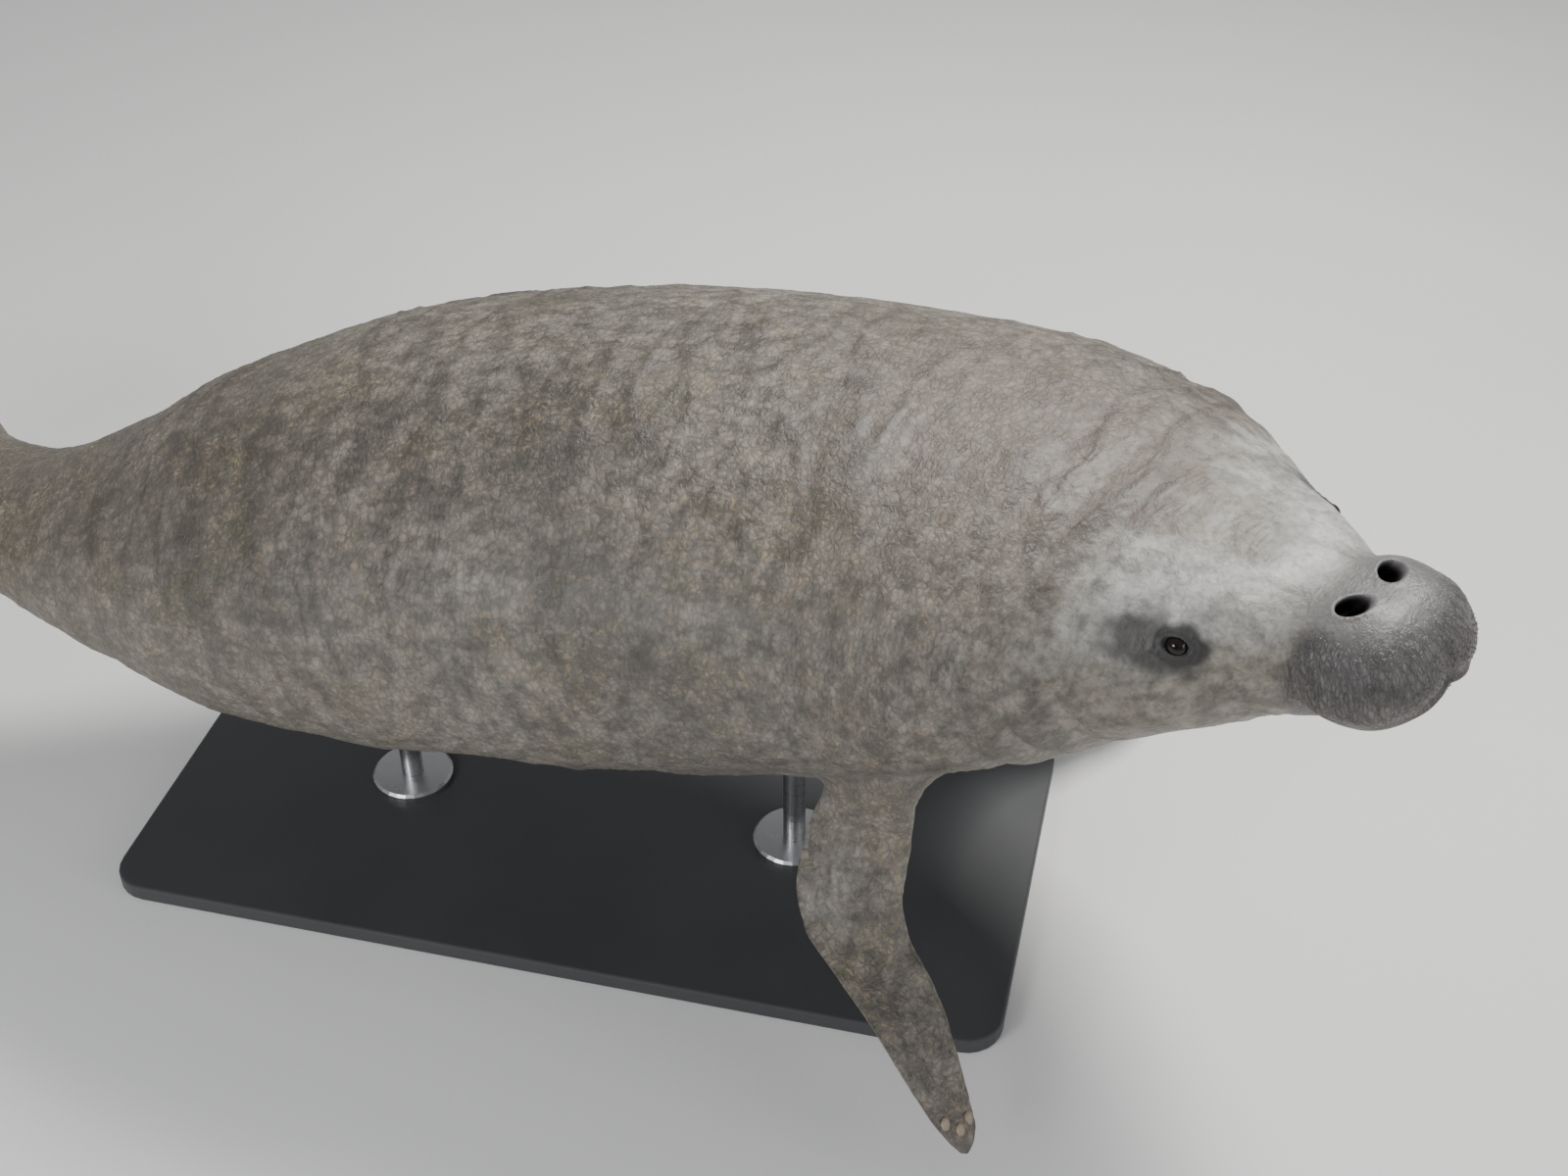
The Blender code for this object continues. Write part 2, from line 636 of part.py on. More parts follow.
def make_stand():
    """A flat base with rounded corners and two rods up to the belly."""
    place = spine_frame(np.array([spot for _, spot in ROD_PLACES]))[0]
    middle = place.mean(axis=0)
    heading = place[0] - place[1]
    turn = math.atan2(heading[1], heading[0])
    outline = []
    for sx, sy, first in ((1, 1, 0), (-1, 1, 90), (-1, -1, 180), (1, -1, 270)):
        for step in range(7):
            a = math.radians(first + 15 * step)
            outline.append((
                sx * (BASE_LENGTH / 2 - BASE_CORNER) + BASE_CORNER * math.cos(a),
                sy * (BASE_WIDTH / 2 - BASE_CORNER) + BASE_CORNER * math.sin(a),
            ))
    rings = [[(x, y, z) for x, y in outline] for z in (0.0, BASE_HEIGHT)]
    base = ring_solid("stand_base", rings)
    base.location = (middle[0], middle[1], 0)
    base.rotation_euler = (0, 0, turn)
    bevel = base.modifiers.new("soft edge", "BEVEL")
    bevel.width = BASE_BEVEL
    bevel.segments = 2
    bevel.limit_method = "ANGLE"
    bevel.angle_limit = math.radians(60)
    finish(base, BASE)
    for word, spot in ROD_PLACES:
        x, y, z = spine_frame(np.array([spot]))[0][0]
        low = BASE_HEIGHT + GAP
        foot = (
            (low, ROD_FOOT_RADIUS),
            (low + ROD_FOOT_HEIGHT * 0.7, ROD_FOOT_RADIUS),
            (low + ROD_FOOT_HEIGHT, ROD_FOOT_RADIUS * 0.94),
        )
        finish(turned(f"stand_foot_{word}", x, y, foot), STEEL)
        low += ROD_FOOT_HEIGHT + GAP
        rod = turned(f"stand_rod_{word}", x, y, ((low, ROD_RADIUS), (z, ROD_RADIUS)))
        combine(rod, clearance(4, 5), "DIFFERENCE")
        finish(keep_largest(rod), STEEL)


def centre_on_floor():
    """Move everything so that the middle of the whole, seen from above, is at the origin."""
    bpy.context.view_layer.update()
    corners = [item.matrix_world @ Vector(c) for item in bpy.data.objects for c in item.bound_box]
    shift = Vector([-(min(c[k] for c in corners) + max(c[k] for c in corners)) / 2 for k in (0, 1)] + [0])
    for item in bpy.data.objects:
        item.location = item.location + shift


clear_scene()
make_head_end()
make_trunk()
for flipper_side, flipper_word in ((1, "left"), (-1, "right")):
    make_flipper(flipper_side, flipper_word)
make_stand()
centre_on_floor()
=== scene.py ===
"""The looks of a life-size manatee, swimming with its muzzle lifted to breathe, on a plain display stand.

One skin covers all of the flesh. It is a fine loft of the same sections as the solids, with the flippers
grown from it, and with wrinkles, lips, lids and nostrils moved into the mesh. A place on the body has a lie:
its distance behind the snout along the spine, and its left and up from the spine, in metres.
"""

import math

import bpy
import bmesh
import numpy as np
from mathutils import Matrix, Vector


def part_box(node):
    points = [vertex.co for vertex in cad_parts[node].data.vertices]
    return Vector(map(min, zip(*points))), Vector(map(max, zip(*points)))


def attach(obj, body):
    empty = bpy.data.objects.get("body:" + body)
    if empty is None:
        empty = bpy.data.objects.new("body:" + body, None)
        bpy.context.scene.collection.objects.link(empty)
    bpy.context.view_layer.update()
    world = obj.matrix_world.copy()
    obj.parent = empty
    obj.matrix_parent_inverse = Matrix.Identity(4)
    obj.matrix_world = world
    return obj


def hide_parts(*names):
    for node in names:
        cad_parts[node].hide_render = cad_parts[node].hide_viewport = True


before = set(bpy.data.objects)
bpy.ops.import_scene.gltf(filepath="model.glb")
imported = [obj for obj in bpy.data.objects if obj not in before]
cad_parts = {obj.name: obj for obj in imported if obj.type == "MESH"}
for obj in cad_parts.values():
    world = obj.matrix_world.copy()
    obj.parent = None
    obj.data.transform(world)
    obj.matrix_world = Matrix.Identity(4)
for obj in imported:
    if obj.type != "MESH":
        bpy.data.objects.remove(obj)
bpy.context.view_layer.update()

# Driving dimensions, the same as the solids have: the length along the spine, how far back the snout and
# how far forward the tail's end are rounded, and the place of a point of the spine in the spine's frame.
LENGTH = 3.15
SNOUT_ROUND = 0.068
TAIL_ROUND = 0.26
REFERENCE = 1.328
REFERENCE_PLACE = (0.0, 0.0, 0.66)
# Distance behind the snout, and in degrees the yaw to the left, the rise towards the head and the roll
# of the back to the right: the photographed bend.
BEND = (
    (0.00, -30.5, 16.5, 5.5),
    (0.32, -30.5, 16.0, 5.5),
    (0.57, -21.0, 12.0, 4.0),
    (0.92, -3.0, 8.5, 0.5),
    (1.32, 2.0, 9.0, 0.0),
    (1.70, 6.0, 12.0, 0.0),
    (2.00, 4.0, 12.0, 0.0),
    (2.30, -4.0, 6.0, 0.0),
    (2.70, -9.0, 1.0, 0.0),
    (3.15, -11.0, -4.0, 0.0),
)
# Distance behind the snout, half width, height above the spine, depth below it, and squareness
# of the section: 2 is an ellipse, more is boxier, less is thin edged as in the paddle.
PROFILE = (
    (0.00, 0.094, 0.054, 0.088, 2.4),
    (0.05, 0.107, 0.067, 0.096, 2.5),
    (0.10, 0.113, 0.076, 0.103, 2.5),
    (0.155, 0.117, 0.086, 0.107, 2.35),
    (0.20, 0.139, 0.098, 0.116, 2.2),
    (0.27, 0.180, 0.121, 0.136, 2.1),
    (0.34, 0.227, 0.144, 0.161, 2.1),
    (0.42, 0.287, 0.168, 0.189, 2.1),
    (0.52, 0.350, 0.197, 0.219, 2.1),
    (0.70, 0.410, 0.240, 0.264, 2.15),
    (1.00, 0.434, 0.286, 0.308, 2.15),
    (1.30, 0.432, 0.308, 0.326, 2.15),
    (1.60, 0.410, 0.298, 0.315, 2.1),
    (1.90, 0.348, 0.250, 0.258, 2.1),
    (2.12, 0.253, 0.178, 0.175, 2.0),
    (2.37, 0.158, 0.104, 0.094, 1.9),
    (2.54, 0.184, 0.078, 0.068, 1.5),
    (2.75, 0.290, 0.052, 0.044, 1.2),
    (2.93, 0.343, 0.036, 0.031, 1.15),
    (3.15, 0.348, 0.020, 0.018, 1.15),
)
# What the paddle's rim adds to half its thickness, and where the nostrils, the eyes and the corners of the
# mouth lie.
RIM = 0.009
NOSTRIL_BACK = 0.096
NOSTRIL_SIDE = 0.0415
EYE_BACK = 0.272
EYE_UP = 0.045
MOUTH_CORNER = 0.180


def through(table, column, at):
    """The smooth curve through one column of a table, which rises and falls only where the table does."""
    xs = np.array([row[0] for row in table])
    ys = np.array([row[column] for row in table], float)
    step = np.diff(xs)
    slope = np.diff(ys) / step
    tangent = np.zeros_like(ys)
    tangent[0], tangent[-1] = slope[0], slope[-1]
    for i in range(1, len(xs) - 1):
        if slope[i - 1] * slope[i] > 0:
            before, after = 2 * step[i] + step[i - 1], step[i] + 2 * step[i - 1]
            tangent[i] = (before + after) / (before / slope[i - 1] + after / slope[i])
    at = np.clip(at, xs[0], xs[-1])
    k = np.clip(np.searchsorted(xs, at, side="right") - 1, 0, len(xs) - 2)
    t = (at - xs[k]) / step[k]
    return (
        (2 * t**3 - 3 * t**2 + 1) * ys[k]
        + (t**3 - 2 * t**2 + t) * step[k] * tangent[k]
        + (3 * t**2 - 2 * t**3) * ys[k + 1]
        + (t**3 - t**2) * step[k] * tangent[k + 1]
    )


def directions(back):
    """Forward, left and up of the spine at each distance behind the snout."""
    yaw, rise, roll = (np.radians(through(BEND, k, back)) for k in (1, 2, 3))
    ahead = np.stack([np.cos(rise) * np.cos(yaw), np.cos(rise) * np.sin(yaw), np.sin(rise)], -1)
    left = np.stack([-np.sin(yaw), np.cos(yaw), np.zeros_like(yaw)], -1)
    up = np.cross(ahead, left)
    turn, keep = np.sin(roll)[..., None], np.cos(roll)[..., None]
    return ahead, left * keep + up * turn, up * keep - left * turn


def spine_places(samples=1261):
    """Distances behind the snout and the spine's places there, summed back from the snout."""
    back = np.linspace(0, LENGTH, samples)
    ahead, _, _ = directions(back)
    steps = (ahead[1:] + ahead[:-1]) / 2 * (back[1] - back[0])
    places = np.vstack([np.zeros(3), -np.cumsum(steps, axis=0)])
    here = np.array([np.interp(REFERENCE, back, places[:, k]) for k in range(3)])
    return back, places - here + np.array(REFERENCE_PLACE)


SPINE = spine_places()


def spine_frame(back):
    """The spine's place, forward, left and up at each distance behind the snout."""
    place = np.stack([np.interp(back, SPINE[0], SPINE[1][:, k]) for k in range(3)], -1)
    return (place, *directions(back))


def hump(distance, width):
    return np.exp(-((distance / width) ** 2))


def ramp(value, low, high):
    """0 below low, 1 above high, smooth between."""
    t = np.clip((value - low) / (high - low), 0, 1)
    return t * t * (3 - 2 * t)


def rounding(back):
    """How far each section has opened: from nothing at the snout and the tail tip to 1 between them."""
    front = np.clip(1 - back / SNOUT_ROUND, 0, 1)
    tail = np.clip((back - LENGTH + TAIL_ROUND) / TAIL_ROUND, 0, 1)
    return (1 - front**2.3) ** (1 / 2.3), (1 - tail**2.3) ** (1 / 2.3)


def section(back, angle):
    """Left and up from the spine, for the plain section before its relief."""
    half, above, below, square = (through(PROFILE, k, back) for k in (1, 2, 3, 4))
    snout, tail = rounding(back)
    c, s = np.cos(angle), np.sin(angle)
    c = np.sign(c) * np.abs(c) ** np.minimum(2 / square, 1)
    height = np.where(s > 0, above, below) * np.abs(s) ** (2 / square)
    height += RIM * ramp(back, 2.3, 2.6) * np.abs(s)
    return half * snout * tail * c, np.sign(s) * height * snout * tail**0.5


def mouth_height(back, left):
    """Height of the line of the mouth, which is arched under the two pads of the upper lip."""
    arch = 0.011 * hump(left, 0.034) * (1 - ramp(back, 0.035, 0.080))
    return arch - 0.054 - 0.006 * hump(back - 0.075, 0.045) + 0.024 * ramp(back, 0.09, MOUTH_CORNER)


def crease_back(up):
    """Where the crease runs that bounds the muzzle, further back low down on the cheek."""
    return 0.150 + 0.016 * ramp(-up, -0.06, 0.03)


def head_relief(back, left, up):
    """How far the skin of the head stands out from the plain sections."""
    side = np.abs(left)
    lip = mouth_height(back, left)
    over, under = up - lip, ramp(lip - up, -0.006, 0.022)
    front = 1 - ramp(back, 0.05, 0.17)
    relief = 0.011 * hump(back - 0.060, 0.062) * hump(over - 0.030, 0.032) * ramp(side, 0.006, 0.050)
    relief -= 0.015 * under * front * (0.55 + 0.45 * ramp(side, 0.03, 0.09))
    relief += 0.006 * under * hump(back - 0.030, 0.045) * hump(left, 0.045)
    relief -= 0.006 * hump(left, 0.011) * hump(up + 0.012, 0.045) * (1 - ramp(back, 0.03, 0.07))
    behind = np.where(back > crease_back(up), 0.034, 0.017)
    crease = hump(back - crease_back(up), behind) * ramp(up, -0.050, 0.0)
    relief -= 0.007 * crease * (1 - 0.6 * hump(left, 0.05))
    relief += 0.005 * hump(back - 0.105, 0.035) * hump(up - 0.045, 0.040) * ramp(side, 0.02, 0.06)
    relief -= 0.005 * hump(left, 0.030) * hump(back - 0.165, 0.060) * ramp(up, 0.02, 0.06)
    relief += 0.011 * hump(back - 0.235, 0.055) * hump(up - 0.082, 0.032) * hump(side - 0.112, 0.038)
    relief += 0.015 * hump(back - 0.300, 0.080) * hump(up + 0.055, 0.055) * ramp(side, 0.05, 0.12)
    hollow = hump(back - EYE_BACK + 0.030, 0.030) * hump(up - EYE_UP + 0.020, 0.024)
    socket = hump(back - EYE_BACK, 0.036) * hump(up - EYE_UP, 0.030)
    relief += 0.006 * (socket - hollow) * ramp(side, 0.05, 0.11)
    relief -= 0.007 * hump(back - 0.225 - 0.2 * up, 0.022) * ramp(-up, 0.070, 0.105)
    return relief


def neck_folds(back, left, up):
    """Soft rolls across the neck, deepest under the throat."""
    under = 0.35 + 0.65 * ramp(-up, -0.10, 0.12)
    folds = sum(hump(back - place - 0.05 * left**2, 0.016) for place in (0.405, 0.470, 0.545))
    return -0.009 * folds * under


def surface(back, angle):
    """Places on the skin, and the outward directions there, for arrays of distances and angles."""
    back, angle = np.broadcast_arrays(np.asarray(back, float), np.asarray(angle, float))
    small = 1e-4
    left, up = section(back, angle)
    ahead_of, behind = np.clip(back - small, 0, LENGTH), np.clip(back + small, 0, LENGTH)
    a, b = section(ahead_of, angle), section(behind, angle)
    along = np.stack([-(behind - ahead_of), b[0] - a[0], b[1] - a[1]], -1)
    a, b = section(back, angle - small), section(back, angle + small)
    across = np.stack([np.zeros_like(back), b[0] - a[0], b[1] - a[1]], -1)
    out = np.cross(along, across)
    size = np.linalg.norm(out, axis=-1, keepdims=True)
    pole = np.where(back > LENGTH / 2, -1.0, 1.0)[..., None] * np.array([1.0, 0, 0])
    out = np.where(size > 1e-13, out / np.maximum(size, 1e-13), pole)
    relief = head_relief(back, left, up) * (1 - ramp(back, 0.36, 0.44)) + neck_folds(back, left, up)
    flat = ramp(back, SNOUT_ROUND, SNOUT_ROUND + 0.02)
    push = out * relief[..., None]
    push[..., 0] *= 1 - flat
    place, ahead, left_way, up_way = spine_frame(back)
    local = push + np.stack([np.zeros_like(left), left, up], -1)
    places = place + ahead * local[..., :1] + left_way * local[..., 1:2] + up_way * local[..., 2:]
    return places, ahead * out[..., :1] + left_way * out[..., 1:2] + up_way * out[..., 2:]


# Where the flippers grow: the distance behind the snout, and in degrees how far they hang below level.
FLIPPER_ROOT = 0.83
FLIPPER_DROOP = 50
# Distance from the skin along a flipper, forward offset, chord, thickness and twist in degrees.
FLIPPER = (
    (-0.140, -0.004, 0.215, 0.125, 0),
    (-0.040, -0.010, 0.215, 0.110, 0),
    (0.030, -0.022, 0.188, 0.094, 0),
    (0.090, -0.032, 0.168, 0.078, 3),
    (0.170, -0.036, 0.161, 0.064, 10),
    (0.235, -0.016, 0.162, 0.053, 20),
    (0.290, 0.030, 0.158, 0.042, 36),
    (0.360, 0.086, 0.142, 0.031, 52),
    (0.430, 0.135, 0.114, 0.022, 58),
    (0.485, 0.172, 0.080, 0.017, 60),
    (0.515, 0.190, 0.053, 0.014, 60),
)
# How far from its tip a flipper starts to round off.
FLIPPER_ROUND = 0.050
# Distance from the skin and place ahead of the hand's middle for each nail, then the nails' size, and the
# share of the hand's half thickness at which they sit.
NAILS = ((0.470, 0.028), (0.484, 0.004), (0.476, -0.020))
NAIL_WIDTH = 0.016
NAIL_LENGTH = 0.022
NAIL_HEIGHT = 0.0050
NAIL_SEAT = 0.85
# Radius of an eyeball, and how deep its middle lies under the plain skin.
EYE_RADIUS = 0.0160
EYE_SINK = 0.0115


def angle_at(back, column, value, right=False):
    """The angle round the section where it reaches a distance to the left of the spine, or a height."""
    if column == "left":
        angles = np.linspace(0.02, math.pi - 0.02, 400)
        reach = section(np.full(400, back), angles)[0]
        return float(np.interp(-value, -reach, angles))
    angles = np.linspace(-1.3, 1.3, 400)
    reach = section(np.full(400, back), angles)[1]
    angle = float(np.interp(value, reach, angles))
    return math.pi - angle if right else angle


def skin_place(back, angle):
    place, out = surface(np.array([back]), np.array([angle]))
    return Vector(place[0]), Vector(out[0]).normalized()


def eye_spot(side):
    angle = angle_at(EYE_BACK, "up", EYE_UP, right=side < 0)
    place, out = skin_place(EYE_BACK, angle)
    return place - out * EYE_SINK, out


def flank_angle(side):
    """The angle round the section at which a flipper grows from the flank."""
    droop = math.radians(FLIPPER_DROOP)
    return -droop if side > 0 else math.pi + droop


def flipper_ways(side):
    """The root of a flipper on the skin, the way it hangs, and the way ahead."""
    place, ahead, left, up = (part[0] for part in spine_frame(np.array([FLIPPER_ROOT])))
    droop = math.radians(FLIPPER_DROOP)
    down = left * side * math.cos(droop) - up * math.sin(droop)
    on_skin = surface(np.array([FLIPPER_ROOT]), np.array([flank_angle(side)]))[0][0]
    reach = np.linalg.norm(on_skin - place)
    return place + down * reach, down, ahead


def flipper_section(side, distance):
    """Middle, leading and outer ways, half chord and half thickness at a distance from the skin."""
    root, down, ahead = flipper_ways(side)
    forward, chord, thick, twist = (
        float(through(FLIPPER, k, np.array([distance]))[0]) for k in (1, 2, 3, 4)
    )
    close = max(0.0, (distance - FLIPPER[-1][0] + FLIPPER_ROUND) / FLIPPER_ROUND)
    round_off = math.sqrt(max(0.0, 1 - close**2))
    lead = np.array(Matrix.Rotation(math.radians(twist) * side, 3, Vector(down)) @ Vector(ahead))
    outer = np.cross(lead, down) * side
    middle = root + down * distance + ahead * forward
    return middle, lead, outer, chord * round_off / 2, thick * round_off**0.6 / 2


# How finely the skin is made: columns round the body, rings in the snout and in the tail's end,
# and the distance between rings elsewhere.
SEGMENTS = 360
SNOUT_RINGS = 72
TAIL_RINGS = 66
RING_STEP = (
    (0.068, 0.0018),
    (0.200, 0.0020),
    (0.450, 0.0032),
    (0.700, 0.0060),
    (2.890, 0.0064),
)
ROUND_POWER = 2 / 2.3

# The oval on the flank that each flipper grows from, and how far out the flipper proper starts.
PATCH_BACK = FLIPPER_ROOT - 0.028
PATCH_LONG = 0.140
PATCH_TURN = math.radians(13)
PATCH_REACH = 2.2
FLIPPER_START = 0.085
FILLET_RINGS = 18
FLIPPER_RINGS = 84

# The unwrap: how high the body's strip reaches, where the flippers' strips start and how high they are.
BODY_STRIP = 0.86
FLIPPER_STRIP = 0.875
FLIPPER_STRIP_HIGH = 0.12

# Depths of the wrinkles, of the line of the mouth, and of the pits that the bristles stand in.
FOLD_DEPTH = 0.0032
NET_DEPTH = 0.0016
SMALL_DEPTH = 0.0007
FINE_DEPTH = 0.0007
PLEAT_DEPTH = 0.0017
MOUTH_DEPTH = 0.0055
THROAT_DEPTH = 0.0018
EYE_RING_DEPTH = 0.0008
PIT_DEPTH = 0.0013
PIT_RADIUS = 0.0019

# How far apart the muzzle's bristles and the body's fine hairs stand, how deep they are set, and in how
# many parts each is made.
BRISTLE_SPACING = 0.0068
HAIR_SPACING = 0.042
HAIR_SEAT = 0.0012
HAIR_PARTS = 4

# Turns the lattice of the noise away from the directions of the body.
TILT = np.array(Matrix.Rotation(0.9, 3, Vector((0.48, 0.62, 0.62))))

FLESH = [
    "muzzle", "lower_jaw", "head", "neck", "shoulders", "midriff", "hindquarters",
    "tail_stock", "tail_paddle",
    "flipper_left_arm", "flipper_left_hand", "flipper_right_arm", "flipper_right_hand",
]


def hashed(ix, iy, iz, salt):
    """A repeatable number from 0 to 1 at each point of a lattice."""
    mixed = (ix * 374761393 + iy * 668265263 + iz * 1442695041 + salt * 974634777) & 0xFFFFFFFF
    mixed = ((mixed ^ (mixed >> 13)) * 1103515245) & 0xFFFFFFFF
    mixed = ((mixed ^ (mixed >> 15)) * 668265263) & 0xFFFFFFFF
    return ((mixed ^ (mixed >> 16)) & 0xFFFFFF) / float(0xFFFFFF)


def noise(points, size, salt):
    """Smooth noise from -1 to 1, with forms about a size across."""
    q = np.asarray(points) @ TILT / size
    low = np.floor(q).astype(np.int64)
    t = q - low
    t = t * t * t * (t * (6 * t - 15) + 10)
    total = np.zeros(len(q))
    for corner in range(8):
        dx, dy, dz = corner & 1, (corner >> 1) & 1, corner >> 2
        weight = (t[:, 0] if dx else 1 - t[:, 0]) * (t[:, 1] if dy else 1 - t[:, 1])
        weight = weight * (t[:, 2] if dz else 1 - t[:, 2])
        total += weight * hashed(low[:, 0] + dx, low[:, 1] + dy, low[:, 2] + dz, salt)
    return 2 * total - 1


def creases(points, size, salt, width):
    """Narrow winding creases that cross each other: 1 at their bottoms, 0 between them."""
    first = hump(noise(points, size, salt), width)
    second = hump(noise(points, size * 1.13, salt + 1), width * 1.1)
    return np.maximum(first, 0.9 * second)


def ring_places():
    """Distances behind the snout of the skin's rings."""
    turn = np.linspace(0, math.pi / 2, SNOUT_RINGS + 1)
    snout = SNOUT_ROUND * (1 - np.cos(turn) ** ROUND_POWER)
    turn = np.linspace(0, math.pi / 2, TAIL_RINGS + 1)
    tail = LENGTH - TAIL_ROUND + TAIL_ROUND * np.sin(turn) ** ROUND_POWER
    middle = [snout[-1]]
    while middle[-1] < tail[0]:
        middle.append(middle[-1] + float(through(RING_STEP, 1, np.array([middle[-1]]))[0]))
    scale = (tail[0] - snout[-1]) / (middle[-1] - snout[-1])
    middle = snout[-1] + (np.array(middle) - snout[-1]) * scale
    return np.concatenate([snout, middle[1:-1], tail])


def patch_place(back, angle, side):
    """Where grid points lie in the square round a flipper's root, which reaches from -1 to 1 each way."""
    return (back - PATCH_BACK) / PATCH_LONG, (angle - flank_angle(side)) / PATCH_TURN


def round_patch(back, angle, side):
    """Move the grid so that the square round a flipper's root becomes an oval."""
    x, y = patch_place(back, angle, side)
    reach = np.maximum(np.maximum(np.abs(x), np.abs(y)), 1e-9)
    round_x = x * np.sqrt(1 - (y / reach) ** 2 / 2)
    round_y = y * np.sqrt(1 - (x / reach) ** 2 / 2)
    part = 1 - ramp(reach, 1.0, PATCH_REACH)
    back = back + (round_x - x) * part * PATCH_LONG
    return back, angle + (round_y - y) * part * PATCH_TURN


def patch_loop(rows, columns):
    """The grid points round the edge of a block of the grid, in order."""
    (top, bottom), (first, last) = rows, columns
    loop = [(i, first) for i in range(top, bottom)]
    loop += [(bottom, j) for j in range(first, last)]
    loop += [(i, last) for i in range(bottom, top, -1)]
    loop += [(top, j) for j in range(last, first, -1)]
    return loop


def flipper_ring(side, distance, turn):
    """Places round a flipper at a distance from the skin, at given angles from its leading edge."""
    middle, lead, outer, half_chord, half_thick = flipper_section(side, distance)
    height = np.sign(np.sin(turn)) * np.abs(np.sin(turn)) ** 1.15 * half_thick
    return middle + np.outer(np.cos(turn) * half_chord, lead) + np.outer(height, outer)


def flipper_lie(places):
    """The lie of places on a flipper, straight on from the body's at its root."""
    place, ahead, left, up = (part[0] for part in spine_frame(np.array([FLIPPER_ROOT])))
    away = places - place
    return np.stack([FLIPPER_ROOT - away @ ahead, away @ left, away @ up], -1)


def hermite(t, start, start_way, end, end_way):
    return (
        (2 * t**3 - 3 * t**2 + 1) * start
        + (t**3 - 2 * t**2 + t) * start_way
        + (3 * t**2 - 2 * t**3) * end
        + (t**3 - t**2) * end_way
    )


def flipper_rings(side, rim, rim_out, rim_lie):
    """Rings of a flipper from its rim on the flank to its tip: places, lie, share of limb and softness."""
    _, down, _ = flipper_ways(side)
    middle, lead, outer, _, _ = flipper_section(side, 0.0)
    away = rim - middle
    turn = np.arctan2((away @ outer) / (away @ outer).std(), (away @ lead) / (away @ lead).std())
    inward = rim.mean(axis=0) - rim
    inward -= rim_out * np.sum(inward * rim_out, axis=1, keepdims=True)
    first_ring = flipper_ring(side, FLIPPER_START, turn)
    made = []
    for t in np.arange(1, FILLET_RINGS + 1) / FILLET_RINGS:
        ring = hermite(t, rim, inward * 1.15, first_ring, np.array(down) * 0.11)
        made.append((ring, rim_lie * (1 - t) + flipper_lie(ring) * t, t, 1 - 0.4 * t))
    for k in range(FLIPPER_RINGS):
        part = 1 - (1 - (k + 1) / FLIPPER_RINGS) ** 1.35
        ring = flipper_ring(side, FLIPPER_START + (FLIPPER[-1][0] - FLIPPER_START) * part, turn)
        made.append((ring, flipper_lie(ring), 1.0, 0.6 * float(1 - ramp(k, 0, 9))))
    ring, lie, share, softness = made[-1]
    made[-1] = (ring.mean(axis=0, keepdims=True), lie.mean(axis=0, keepdims=True), share, softness)
    return made


def skin_mesh():
    """The whole skin before its detail: places, lie, unwrap, share of limb, softness and faces."""
    rows_back = ring_places()
    columns_angle = np.arange(SEGMENTS) * 2 * math.pi / SEGMENTS - math.pi / 2
    plain_back, plain_angle = np.meshgrid(rows_back, columns_angle, indexing="ij")
    back, angle = plain_back, plain_angle
    for side in (1, -1):
        back, angle = round_patch(back, angle, side)
    places, outward = surface(back, angle)
    left, up = section(back, angle)
    rings = len(rows_back)
    number = np.arange(rings * SEGMENTS).reshape(rings, SEGMENTS)
    number[0, :] = number[0, 0]
    number[-1, :] = number[-1, 0]
    places = places.reshape(-1, 3)
    outward = outward.reshape(-1, 3)
    lie = np.stack([back, left, up], -1).reshape(-1, 3)
    across, along = (np.arange(SEGMENTS) + 0.5) / SEGMENTS, BODY_STRIP * np.arange(rings) / rings
    unwrap = np.stack(np.meshgrid(along, across, indexing="ij")[::-1], -1).reshape(-1, 2)
    softness = np.zeros(len(places))
    open_block = np.zeros((rings - 1, SEGMENTS), bool)
    parts = []
    faces = []
    total = len(places)
    for side in (1, -1):
        x, y = patch_place(plain_back, plain_angle, side)
        inside_rows = np.nonzero(np.abs(x[:, 0]) <= 1)[0]
        inside_columns = np.nonzero(np.abs(y[0, :]) <= 1)[0]
        rows = (inside_rows[0], inside_rows[-1])
        columns = (inside_columns[0], inside_columns[-1])
        open_block[rows[0] : rows[1], columns[0] : columns[1]] = True
        reach = np.maximum(np.abs(x), np.abs(y)).reshape(-1)
        softness = np.maximum(softness, 1 - ramp(reach, 1.0, 1.7))
        ids = np.array([number[i, j] for i, j in patch_loop(rows, columns)])
        made = flipper_rings(side, places[ids], outward[ids], lie[ids])
        previous, count = ids, len(ids)
        strip = 0.01 if side > 0 else 0.51
        for k, (ring, ring_lie, share, soft) in enumerate(made):
            size = len(ring)
            high = np.full(size, FLIPPER_STRIP + FLIPPER_STRIP_HIGH * k / len(made))
            spots = np.stack([strip + 0.47 * np.arange(size) / count, high], -1)
            parts.append((ring, ring_lie, spots, np.full(size, share), np.full(size, soft)))
            here = total + np.arange(count) % size
            for j in range(count):
                n = (j + 1) % count
                face = (previous[j], previous[n], here[n], here[j])
                faces.append(face if size > 1 else face[:3])
            total += size
            previous = here
    for i in range(rings - 1):
        for j in np.nonzero(~open_block[i])[0]:
            n = (j + 1) % SEGMENTS
            corner = (number[i, j], number[i, n], number[i + 1, n], number[i + 1, j])
            if i == 0:
                corner = (corner[0], corner[2], corner[3])
            elif i == rings - 2:
                corner = corner[:3]
            faces.append(corner)
    parts.insert(0, (places, lie, unwrap, np.zeros(len(places)), softness))
    used = np.zeros(total, bool)
    used[np.concatenate([np.array(face) for face in faces])] = True
    new = np.cumsum(used) - 1
    skin = {
        key: np.concatenate(pieces)[used]
        for key, pieces in zip(("places", "lie", "unwrap", "limb", "soften"), zip(*parts))
    }
    skin["faces"] = [tuple(int(new[v]) for v in face) for face in faces]
    return skin


